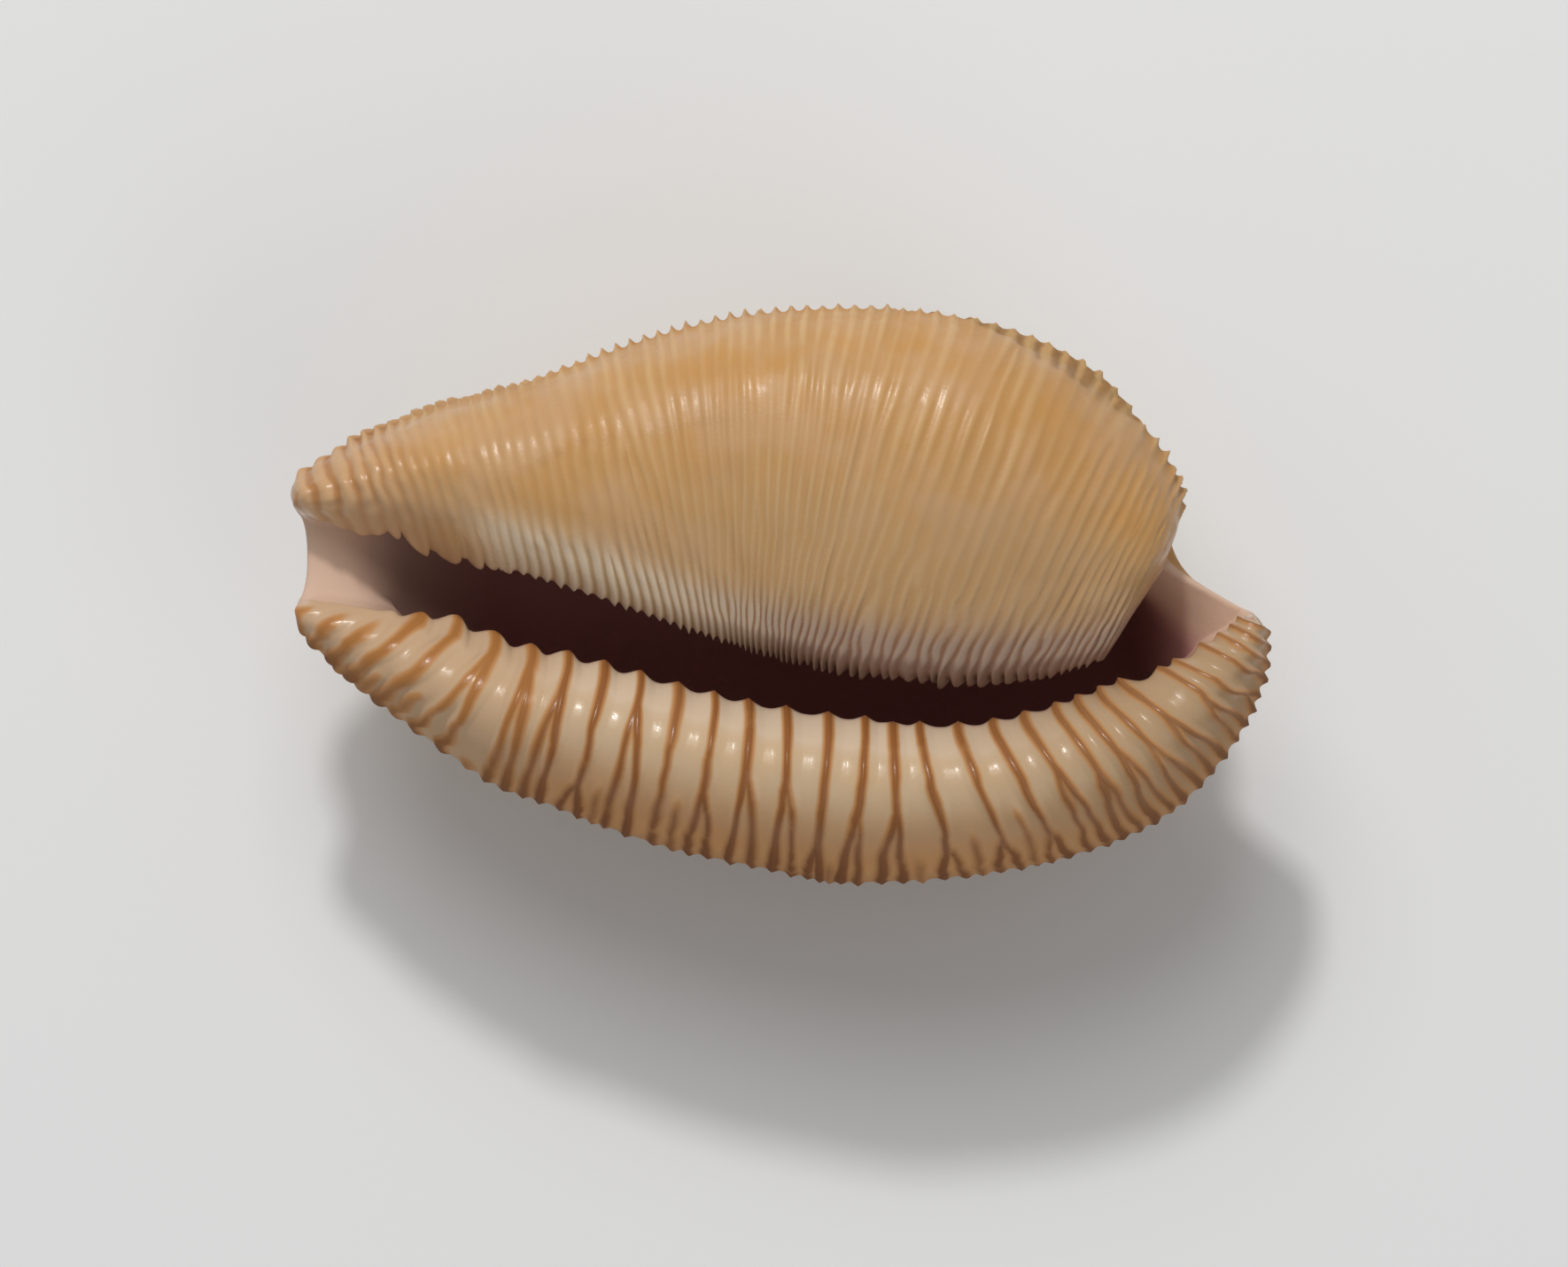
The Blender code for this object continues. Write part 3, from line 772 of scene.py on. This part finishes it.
def rib_relief(numbers, places, ribs):
    """The relief of the fine ribs, their shade from groove (0) to crest (1), and the tint of the back."""
    across = places[:, None]
    whole = np.round(numbers)
    crest = 0.5 + 0.5 * np.cos(2.0 * math.pi * numbers)
    pinched = np.clip(1.0 - 2.0 * np.abs(numbers - whole), 0.0, 1.0) ** MARGIN_PINCH
    pinched += (crest - pinched) * ease(10.0, 5.0, ribs)[None]
    near_labrum = ease(1.75, 1.97, across)
    margins = np.maximum(ease(0.7, 0.97, across) * ease(1.35, 1.05, across), near_labrum)
    level = FACE_RIB * (1.0 + FRONT_RIB * ease(9.0, 2.0, ribs)[None])
    level = level + (BACK_RIB - level) * ease(0.95, 1.2, across)
    margin_level = MARGIN_RIB + (LABRAL_MARGIN_RIB - MARGIN_RIB) * near_labrum
    varied = 1.0 + RIB_VARIETY * noise(31, whole * 0.77, across * 5.0)
    uneven = UNEVEN * noise(37, numbers * 1.3, across * 17.0)
    uneven *= ease(0.0, 0.1, across) * ease(0.9, 0.7, across)
    relief = (crest * level * (1.0 - margins) + pinched * margin_level * margins) * varied + uneven
    contrast = rib_contrast(across, ribs)
    relief *= 0.35 + 0.65 * contrast

    past = across - np.interp(ribs, *zip(*SHOULDER))[None]
    beyond = ease(0.0, 0.04, past) * ease(LABRAL_SHOULDER, LABRAL_SHOULDER - 0.06, across)
    lumps = np.abs(np.cos(math.pi * numbers * 0.9))
    lumps *= np.abs(np.cos(across * 26.0 + noise(33, numbers, across * 0.0)))
    beads = BEAD_HEIGHT * (lumps * (1.0 + 0.4 * noise(35, numbers * 1.3, across * 20.0)) - 0.4)
    relief = relief + (beads - relief) * beyond * ease(0.35, 0.12, past) - SHOULDER_STEP * beyond

    shade = 0.5 + (crest - 0.5) * contrast * ease(69.5, 66.5, ribs)
    shade += RIB_SHADES * noise(43, whole * 0.77, across * 4.0) * ease(0.3, 0.6, across)
    softness = 0.04 + 0.3 * ease(47.0, 41.0, ribs)[None]
    tint = ease(0.0, 1.0, past / softness) * (1.0 - 0.5 * ease(0.08, 0.5, past))
    tint *= ease(LABRAL_SHOULDER, LABRAL_SHOULDER - 0.2, across)
    return relief, shade, tint


# --- The teeth ---


def labral_teeth(ribs, lines):
    """How far the labral edge of the mouth is drawn towards the mouth, in millimetres."""
    ridges, at_mouth, _ = lines
    ridge = np.interp(ribs, at_mouth, ridges)
    knob = np.cos(math.pi * ridge) ** 2
    cusp = 1.0 - np.abs(np.sin(math.pi * ridge))
    reach = np.interp(ridge, *zip(*LABRAL_TEETH))
    return reach * (knob + (cusp - knob) * ease(10.0, 15.0, ridge))


def columellar_teeth(numbers, ribs, edge):
    """How far the columellar edge of the mouth is drawn towards the mouth, in millimetres."""
    fine = 1.0 - np.abs(np.sin(math.pi * numbers))
    varied = 1.0 + TOOTH_VARIETY * noise(41, np.round(numbers) * 0.77, numbers * 0.0)
    drawn = np.interp(ribs, *zip(*COLUMELLAR_TEETH)) * fine * varied
    for place, reach, half_width in BROAD_LOBES:
        lobe = np.clip(1.0 - ((edge - place) / half_width) ** 2, 0.0, 1.0) ** LOBE_FULLNESS
        drawn = np.maximum(drawn, reach * lobe)
    return drawn


# --- The whole shell ---


def lip_with_teeth(outer, inner, relief, shift, side):
    """The lip rows between the two surfaces, with the teeth drawn out of them. side is 0 or -1."""
    inside = 1 if side == 0 else -2
    rows = lip_rows(outer[side], outer[inside], inner[side], inner[inside])
    fade = ease(1.0, 0.45, np.linspace(0.0, 1.0, LIP_ROWS + 2))[1:-1]
    return rows + fade[:, None, None] * (shift + relief)[None]


def margin_share(places):
    """1 along the two margins and 0 away from them."""
    columellar = ease(0.8, 1.0, places) * ease(1.3, 1.0, places)
    labral = ease(1.7, 2.0, places) * ease(2.35, 2.0, places)
    return np.maximum(columellar, labral)


def growth_line(outer, labral):
    """How plain the growth line is at each point of the outer rows."""
    lengthwise, crosswise, height = outer[..., 0], outer[..., 1], outer[..., 2]
    away = crosswise - np.interp(lengthwise, *zip(*GROWTH_LINE))
    line = GROWTH_LINE_DEPTH * np.exp(-((away / GROWTH_LINE_REACH) ** 2))
    line *= ease(GROWTH_LINE[0][0], GROWTH_LINE[1][0], lengthwise)
    line *= ease(GROWTH_LINE[-1][0], GROWTH_LINE[-2][0], lengthwise)
    return line * (height > 0.0) * (~labral)[:, None]


def shell_surface():
    """The rows round the section for every column, and the marks that the material reads there."""
    fine = np.linspace(RIBS[0], RIBS[-1], 2000)
    ribs = np.interp(np.linspace(0.0, FACE_RIBS[-1], COLUMNS), smooth_curve(RIBS, FACE_RIBS, fine), fine)
    shape = sections_at(ribs)
    places = row_places()
    outer = outer_rows(ribs, places)
    inner = inner_rows(outer, places, shape, ribs)
    normals = normals_of(outer)
    rib_gap = np.linalg.norm(np.gradient(outer, ribs, axis=1), axis=-1)

    labral = places >= 2.0
    lines = ridge_lines(ribs, shape)
    relief_l, pigment, margin_ribs = labral_marks(ribs, lines, rib_gap[labral], 3.0 - places[labral])
    numbers = rib_numbers(ribs, places[~labral], margin_ribs)
    relief_c, shade, tint = rib_relief(numbers, places[~labral], ribs)
    relief = np.concatenate([relief_c, relief_l])
    relief *= ease(0.0, 1.0, ribs)
    relief *= np.where(labral[:, None], ease(70.0, 68.5, ribs), ease(69.5, 66.0, ribs))
    relief -= OUTLINE_SHARE * MARGIN_RIB * margin_share(places)[:, None]
    raised = outer + normals * relief[..., None]

    lengths = np.linalg.norm(np.diff(outer, axis=0), axis=-1)
    from_c = np.concatenate([np.zeros((1, COLUMNS)), np.cumsum(lengths, axis=0)])
    from_l = from_c[-1] - from_c
    shift_c = columellar_teeth(numbers[0], ribs, outer[0, :, 0])[:, None] * unit(outer[0] - outer[4])
    shift_l = labral_teeth(ribs, lines)[:, None] * unit(outer[-1] - outer[-5])
    raised += ease(TOOTH_ROOT, 0.0, from_c)[..., None] * shift_c[None]
    raised += ease(TOOTH_ROOT, 0.0, from_l)[..., None] * shift_l[None]

    lip_c = lip_with_teeth(outer, inner, normals[0] * relief[0][:, None], shift_c, 0)
    lip_l = lip_with_teeth(outer, inner, normals[-1] * relief[-1][:, None], shift_l, -1)
    closing = rim_closing(raised, inner)[..., None]
    middle = 0.5 * (raised + inner)
    raised += closing * (middle - raised)
    inner += closing * (middle - inner)
    lip_c += closing[0] * (middle[0] - lip_c)
    lip_l += closing[-1] * (middle[-1] - lip_l)

    from_crest = np.abs(numbers - np.round(numbers))
    over_margin = np.exp(-((from_crest / OVER_MARGIN_STRIPE) ** 2))
    over_margin *= ease(1.55, 1.95, places[~labral])[:, None]
    none = np.zeros(pigment.shape)
    marks = {
        "crest": np.concatenate([shade, none]),
        "stripe": np.concatenate([over_margin, pigment]),
        "growth_line": growth_line(outer, labral),
        "back": np.concatenate([tint, none]),
        "place": np.broadcast_to(places[:, None], from_c.shape),
        "along": np.broadcast_to(ribs[None] / RIBS[-1], from_c.shape),
        "columellar_edge": np.exp(-from_c / COLUMELLAR_FADE),
        "labral_edge": np.exp(-from_l / LABRAL_FADE),
        "inside": 0.5 * closing[..., 0] ** 2,
    }
    return raised, lip_l, inner, lip_c, marks


def lip_marks(marks, row):
    """The marks of the lip rows, which carry on those of the face's edge row and turn inwards."""
    fade = np.linspace(0.0, 1.0, LIP_ROWS + 2)[1:-1][:, None]
    made = {}
    for name, values in marks.items():
        made[name] = np.repeat(values[row][None], LIP_ROWS, axis=0)
    made["inside"] = np.repeat(ease(0.45, 0.95, fade), COLUMNS, axis=1)
    return made


def build_shell():
    """The closed mesh of the shell and its marks, one value per point."""
    outer, lip_l, inner, lip_c, marks = shell_surface()
    points = []
    values = {name: [] for name in marks}
    faces = []

    def add(rows, row_marks):
        first = sum(len(part) for part in points)
        points.append(rows.reshape(-1, 3))
        for name, parts in values.items():
            parts.append(row_marks[name].reshape(-1))
        return first + np.arange(len(points[-1])).reshape(rows.shape[:2])

    near_end = np.array(NEAR_END)
    between = np.arange(INNER_STEP, COLUMNS - INNER_STEP, INNER_STEP)
    kept = np.concatenate([near_end, between, COLUMNS - 1 - near_end[::-1]])
    outer_at = add(outer, marks)
    lip_l_at = add(lip_l, lip_marks(marks, -1))
    lip_c_at = add(lip_c, lip_marks(marks, 0))
    within = {name: rows[:, kept] for name, rows in marks.items()}
    within["inside"] = np.ones(within["inside"].shape)
    inner_at = add(inner[:, kept], within)

    sheet = np.concatenate([lip_c_at[::-1], outer_at, lip_l_at])
    for one, two in zip(sheet, sheet[1:]):
        faces += np.stack([one[:-1], one[1:], two[1:], two[:-1]], axis=-1).tolist()
    for one, two in zip(inner_at, inner_at[1:]):
        faces += np.stack([one[1:], one[:-1], two[:-1], two[1:]], axis=-1).tolist()
    for fine, rough, way in ((sheet[-1], inner_at[-1], 1), (sheet[0], inner_at[0], -1)):
        for k in range(len(rough) - 1):
            run = fine[kept[k] : kept[k + 1] + 1].tolist()
            ring = run + [int(rough[k + 1]), int(rough[k])]
            faces.append(ring[::way])
    marks = {name: np.concatenate(parts) for name, parts in values.items()}
    return np.concatenate(points), faces, marks


def set_down(points):
    """Turns the shell to how it lies and sets it on the ground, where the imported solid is."""
    turned = points @ REST_TURN.T - REST_PLACE
    turned[:, 2] = np.maximum(turned[:, 2], 0.0)
    return turned


# --- The material ---

# The colours, in linear RGB, first those of the columellar face and of its strip beside the mouth.
TAN_GROOVE = (0.55, 0.295, 0.105)
TAN_CREST = (0.65, 0.405, 0.185)
TAN_LINE = (0.36, 0.17, 0.05)
TAN_STAIN = (0.46, 0.29, 0.16)
TAN_ORANGE = (0.59, 0.295, 0.085)
TAN_PINK = (0.60, 0.365, 0.195)
FRONT_GROOVE = (0.43, 0.195, 0.07)
FRONT_CREST = (0.59, 0.35, 0.18)
# Painted shade: a dull, darker tan laid over the columellar face towards the mouth, where the face turns
# away from the light.
FACE_PAINTED_SHADE = (0.38, 0.27, 0.16)
PALE_GROOVE = (0.56, 0.37, 0.185)
RUST = (0.26, 0.125, 0.065)
WHITISH = (0.80, 0.64, 0.46)
PALE_PINK = (0.40, 0.275, 0.20)
# Painted shade: a dim brown along the columellar edge of the mouth and over its lip, where it turns down
# into the mouth.
TOOTH_PAINTED_SHADE = (0.22, 0.12, 0.08)

# The labrum between its stripes.
CREAM = (0.59, 0.425, 0.265)
LOW_CREAM = (0.62, 0.31, 0.125)
MARGIN_BROWN = (0.43, 0.23, 0.095)
TOOTH_CREAM = (0.66, 0.50, 0.35)
FRONT_PINK = (0.60, 0.39, 0.25)
FRONT_CREAM = (0.56, 0.37, 0.22)
REAR_CREAM = (0.44, 0.285, 0.155)

# The stripes of the labrum.
STRIPE_EDGE = (0.51, 0.25, 0.095)
STRIPE_BROWN = (0.29, 0.11, 0.033)
STRIPE_ORANGE = (0.40, 0.17, 0.05)
STRIPE_TAN = (0.32, 0.145, 0.055)
STRIPE_DARK = (0.17, 0.055, 0.012)

# The back and the inside.
BACK_GROOVE = (0.35, 0.175, 0.055)
BACK_CREST = (0.54, 0.32, 0.125)
INSIDE_BROWN = (0.50, 0.23, 0.20)
INSIDE_PINK = (0.66, 0.46, 0.34)

# Soft random blotches: the size of their lumps in millimetres, and how finely they are broken up.
CLOUDS = {
    "stains": (3.5, 2.0),
    "orange blotches": (1.8, 3.0),
    "pink blotches": (2.6, 3.0),
    "cream blotches": (1.5, 3.0),
    "stripe breaks": (1.2, 3.0),
    "face polish": (0.7, 3.0),
    "labral polish": (0.8, 3.0),
    "grain": (0.15, 4.0),
}

# The grain of the surface: how rough its noise is, its strength, and its height in millimetres.
GRAIN_ROUGHNESS = 0.6
GRAIN_STRENGTH = 0.25
GRAIN_HEIGHT = 0.03

# The gloss. The roughness of each face varies between two values. The columellar face is smooth at
# its front end, and the margins are dull.
SPECULAR = 0.24
FACE_ROUGHNESS = (0.23, 0.46)
FRONT_ROUGHNESS = 0.22
LABRAL_ROUGHNESS = (0.16, 0.23)
DULL_ROUGHNESS = 0.9

# Where the colours and the gloss of the labrum take over from those of the back, by place.
LABRUM = ("place", 1.6, 2.03)

# The number of a Mix node's first value, and of its result, for each kind of value.
MIX_SOCKETS = {"FLOAT": (2, 0), "RGBA": (6, 2)}


class Nodes:
    """Short ways to add nodes to a material's tree and to join them.

    A span says how strong a layer is: what is measured, then where it is weakest, where it is
    strongest, and its shares at both, which are 0 and 1 unless they are given. What is measured is a
    mark of the mesh, a cloud or a socket. A span with nothing more is the measure itself.
    """

    def __init__(self, material):
        material.use_nodes = True
        self.tree = material.node_tree
        self.shader = self.tree.nodes["Principled BSDF"]

    def plug(self, value, socket):
        """Links value to the socket if it is a socket too, and sets the socket to it if not."""
        if isinstance(value, bpy.types.NodeSocket):
            self.tree.links.new(value, socket)
        elif isinstance(value, tuple) and len(value) == 3:
            socket.default_value = (*value, 1.0)
        else:
            socket.default_value = value

    def surface(self, colour, roughness, specular):
        values = {"Base Color": colour, "Roughness": roughness, "Specular IOR Level": specular}
        for name, value in values.items():
            self.plug(value, self.shader.inputs[name])

    def add(self, kind, inputs, output=0, **settings):
        """An output of a new node. inputs holds what goes into it, by the inputs' names or numbers."""
        node = self.tree.nodes.new(kind)
        for name, setting in settings.items():
            setattr(node, name, setting)
        for name, value in inputs.items():
            self.plug(value, node.inputs[name])
        return node.outputs[output]

    def cloud(self, name, rough=0.5):
        size, detail = CLOUDS[name]
        where = self.add("ShaderNodeTexCoord", {}, "Object")
        inputs = {"Vector": where, "Scale": 1.0 / (size * MM), "Detail": detail, "Roughness": rough}
        return self.add("ShaderNodeTexNoise", inputs, "Fac")

    def measure(self, what):
        """The socket of a mark or of a cloud, by name. A socket is passed on."""
        if isinstance(what, bpy.types.NodeSocket):
            return what
        if what in CLOUDS:
            return self.cloud(what)
        return self.add("ShaderNodeAttribute", {}, "Fac", attribute_name=what)

    def step(self, value, low, high, out_low=0.0, out_high=1.0):
        """out_low where value is low, out_high where it is high, and a smooth step between them."""
        limits = {"From Min": low, "From Max": high, "To Min": out_low, "To Max": out_high}
        inputs = {"Value": value, **limits}
        return self.add("ShaderNodeMapRange", inputs, "Result", interpolation_type="SMOOTHSTEP")

    def share(self, *spans):
        """The spans, multiplied."""
        product = None
        for what, *limits in spans:
            value = self.measure(what)
            if limits:
                value = self.step(value, *limits)
            if product is None:
                product = value
            else:
                product = self.add("ShaderNodeMath", {0: product, 1: value}, operation="MULTIPLY")
        return product

    def layers(self, base, *layers, kind="RGBA"):
        """base under each of the layers in turn. A layer is a colour or a number, and its spans."""
        first, result = MIX_SOCKETS[kind]
        for added, *spans in layers:
            inputs = {0: self.share(*spans), first: base, first + 1: added}
            base = self.add("ShaderNodeMix", inputs, result, data_type=kind)
        return base


def face_colour(nodes):
    """The columellar face: tan ribs with painted shade towards the mouth, and a whitish to pink strip
    beside the mouth, whose edge is dimmed by painted shade.
    """
    front = nodes.layers(FRONT_GROOVE, (FRONT_CREST, ("crest", 0.1, 0.6)))
    groove = nodes.layers(PALE_GROOVE, (RUST, ("along", 0.25, 0.6)))
    pale = nodes.layers(WHITISH, (PALE_PINK, ("along", 0.28, 0.68)))
    beside_mouth = nodes.layers(
        groove,
        (pale, ("crest", 0.05, 0.6)),
        # Painted shade on the columellar edge and its lip, from about the middle of the shell on.
        (TOOTH_PAINTED_SHADE, ("columellar_edge", 0.72, 0.98), ("along", 0.35, 0.6, 0.0, 0.75)),
    )
    return nodes.layers(
        TAN_GROOVE,
        (TAN_CREST, ("crest", 0.4, 0.95)),
        (TAN_LINE, ("growth_line",)),
        (TAN_STAIN, ("stains", 0.5, 0.7, 0.0, 0.25)),
        (TAN_ORANGE, ("orange blotches", 0.45, 0.7, 0.0, 0.5)),
        (TAN_PINK, ("pink blotches", 0.55, 0.35, 0.0, 0.5)),
        (front, ("along", 0.17, 0.05, 0.0, 0.9)),
        (TAN_LINE, ("along", 0.62, 0.8, 0.0, 0.24)),
        # Painted shade on the lower part of the face, towards the mouth, from the middle of the shell to
        # its back end.
        (FACE_PAINTED_SHADE, ("place", 0.5, 0.2), ("along", 0.25, 0.5, 0.0, 0.35)),
        (beside_mouth, ("columellar_edge", 0.12, 0.6), ("along", 0.12, 0.21, 0.1, 1.0)),
    )


def labral_colour(nodes):
    """The labrum: brown stripes on cream, which darkens towards the margin and the back end."""
    cream = nodes.layers(
        CREAM,
        (LOW_CREAM, ("place", 2.75, 2.35), ("along", 0.05, 0.3, 0.35, 1.0)),
        (TAN_CREST, ("cream blotches", 0.35, 0.65, 0.0, 0.2)),
        (MARGIN_BROWN, ("place", 2.3, 2.0), ("along", 0.05, 0.3, 0.4, 1.0)),
        (TOOTH_CREAM, ("labral_edge", 0.2, 0.9)),
        (FRONT_PINK, ("along", 0.12, 0.03, 0.0, 0.5)),
        (REAR_CREAM, ("along", 0.66, 0.86, 0.0, 0.85)),
        (FRONT_CREAM, ("along", 0.34, 0.16, 0.0, 0.7)),
    )
    brown = nodes.layers(
        STRIPE_BROWN,
        (STRIPE_ORANGE, ("along", 0.3, 0.1)),
        (STRIPE_TAN, ("along", 0.66, 0.86)),
        (STRIPE_DARK, ("place", 2.5, 2.05, 0.0, 0.85)),
    )
    stripe = nodes.share(("stripe",), ("stripe breaks", 0.2, 0.5, 0.7, 1.0))
    return nodes.layers(cream, (STRIPE_EDGE, (stripe, 0.05, 0.45)), (brown, (stripe, 0.35, 0.95)))


def shell_colour(nodes):
    back = nodes.layers(BACK_GROOVE, (BACK_CREST, ("crest", 0.2, 0.9)))
    inside = nodes.layers(
        INSIDE_BROWN,
        (INSIDE_PINK, ("along", 0.17, 0.02)),
        (INSIDE_PINK, ("along", 0.90, 0.945)),
    )
    return nodes.layers(
        face_colour(nodes),
        (back, ("back",)),
        (labral_colour(nodes), LABRUM),
        (inside, ("inside",)),
    )


def shell_roughness(nodes):
    face = nodes.layers(
        nodes.share(("face polish", 0.35, 0.65, *FACE_ROUGHNESS)),
        (FRONT_ROUGHNESS, ("along", 0.3, 0.1)),
        (DULL_ROUGHNESS, ("place", 0.72, 0.9)),
        kind="FLOAT",
    )
    labrum = nodes.layers(
        nodes.share(("labral polish", 0.3, 0.7, *LABRAL_ROUGHNESS)),
        (DULL_ROUGHNESS, ("place", 2.6, 2.28)),
        kind="FLOAT",
    )
    return nodes.layers(face, (labrum, LABRUM), kind="FLOAT")


def shell_material():
    material = bpy.data.materials.new("shell")
    nodes = Nodes(material)
    nodes.surface(shell_colour(nodes), shell_roughness(nodes), SPECULAR)
    height = nodes.cloud("grain", GRAIN_ROUGHNESS)
    grain = {"Strength": GRAIN_STRENGTH, "Distance": GRAIN_HEIGHT * MM, "Height": height}
    nodes.plug(nodes.add("ShaderNodeBump", grain, "Normal"), nodes.shader.inputs["Normal"])
    return material


def add_object(name, data):
    """A new object in the scene."""
    made = bpy.data.objects.new(name, data)
    bpy.context.scene.collection.objects.link(made)
    return made


def make_shell():
    points, faces, marks = build_shell()
    mesh = bpy.data.meshes.new("cowrie_shell")
    mesh.from_pydata((set_down(points) * MM).tolist(), [], faces)
    for name, values in marks.items():
        mark = mesh.attributes.new(name, "FLOAT", "POINT")
        mark.data.foreach_set("value", values.astype(np.float32))
    work = bmesh.new()
    work.from_mesh(mesh)
    bmesh.ops.remove_doubles(work, verts=work.verts, dist=WELD)
    bmesh.ops.dissolve_degenerate(work, edges=work.edges, dist=WELD)
    bmesh.ops.recalc_face_normals(work, faces=work.faces)
    work.to_mesh(mesh)
    work.free()
    mesh.shade_smooth()
    mesh.materials.append(shell_material())
    return add_object("cowrie_shell", mesh)


# --- The studio ---

FLOOR_REACH = 1.5
FLOOR_COLOUR = (0.80, 0.80, 0.79)
FLOOR_ROUGHNESS = 0.9
FLOOR_SPECULAR = 0.1

# The camera looks down on the shell. FRAME_WIDTH is the width of what it sees, in metres, and
# FRAME_CENTRE is the middle of it, before the shell and the camera are turned by REST_ROLL.
CAMERA_TILT = math.radians(83.0)
FRAME_WIDTH = 48.36 * MM
FRAME_CENTRE = (0.138 * MM, -0.265 * MM, 7.0 * MM)
LENS = 400.0
CLIP_START = 0.01
CLIP_END = 5.0

# The lamps: name, place in metres, size and power.
LAMPS = (
    ("key", (-0.05, 0.28, 0.40), 0.05, 0.85),
    ("broad", (-0.06, 0.24, 0.44), 0.30, 0.8),
    ("fill", (0.25, -0.3, 0.35), 0.4, 0.35),
)
SKY_COLOUR = (0.9, 0.92, 0.95)
SKY_STRENGTH = 0.3


def make_floor():
    material = bpy.data.materials.new("floor")
    Nodes(material).surface(FLOOR_COLOUR, FLOOR_ROUGHNESS, FLOOR_SPECULAR)
    mesh = bpy.data.meshes.new("floor")
    sides = ((-1, -1), (1, -1), (1, 1), (-1, 1))
    corners = [(FLOOR_REACH * x, FLOOR_REACH * y, 0.0) for x, y in sides]
    mesh.from_pydata(corners, [], [(0, 1, 2, 3)])
    mesh.materials.append(material)
    floor = add_object("floor", mesh)


def aim(thing, direction):
    """Turns a camera or a lamp to look along direction."""
    thing.rotation_mode = "QUATERNION"
    thing.rotation_quaternion = direction.to_track_quat("-Z", "Y")


def make_camera():
    camera = bpy.data.cameras.new("camera")
    camera.lens = LENS
    camera.clip_start = CLIP_START
    camera.clip_end = CLIP_END
    eye = add_object("camera", camera)
    back = Vector((0.0, -math.cos(CAMERA_TILT), math.sin(CAMERA_TILT)))
    eye.location = Vector(REST_TURN @ FRAME_CENTRE) + back * (LENS / camera.sensor_width * FRAME_WIDTH)
    aim(eye, -back)
    bpy.context.scene.camera = eye


def make_lights():
    for name, place, size, power in LAMPS:
        lamp = bpy.data.lights.new(name, "AREA")
        lamp.shape = "DISK"
        lamp.size = size
        lamp.energy = power
        holder = add_object(name, lamp)
        holder.location = place
        aim(holder, -Vector(place))
    world = bpy.data.worlds.new("world")
    world.use_nodes = True
    sky = world.node_tree.nodes["Background"]
    sky.inputs["Color"].default_value = (*SKY_COLOUR, 1.0)
    sky.inputs["Strength"].default_value = SKY_STRENGTH
    bpy.context.scene.world = world


def main():
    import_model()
    shell = make_shell()
    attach(shell, "root")
    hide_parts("shell")
    make_floor()
    make_camera()
    make_lights()
    bpy.context.scene.view_settings.view_transform = "Standard"


main()
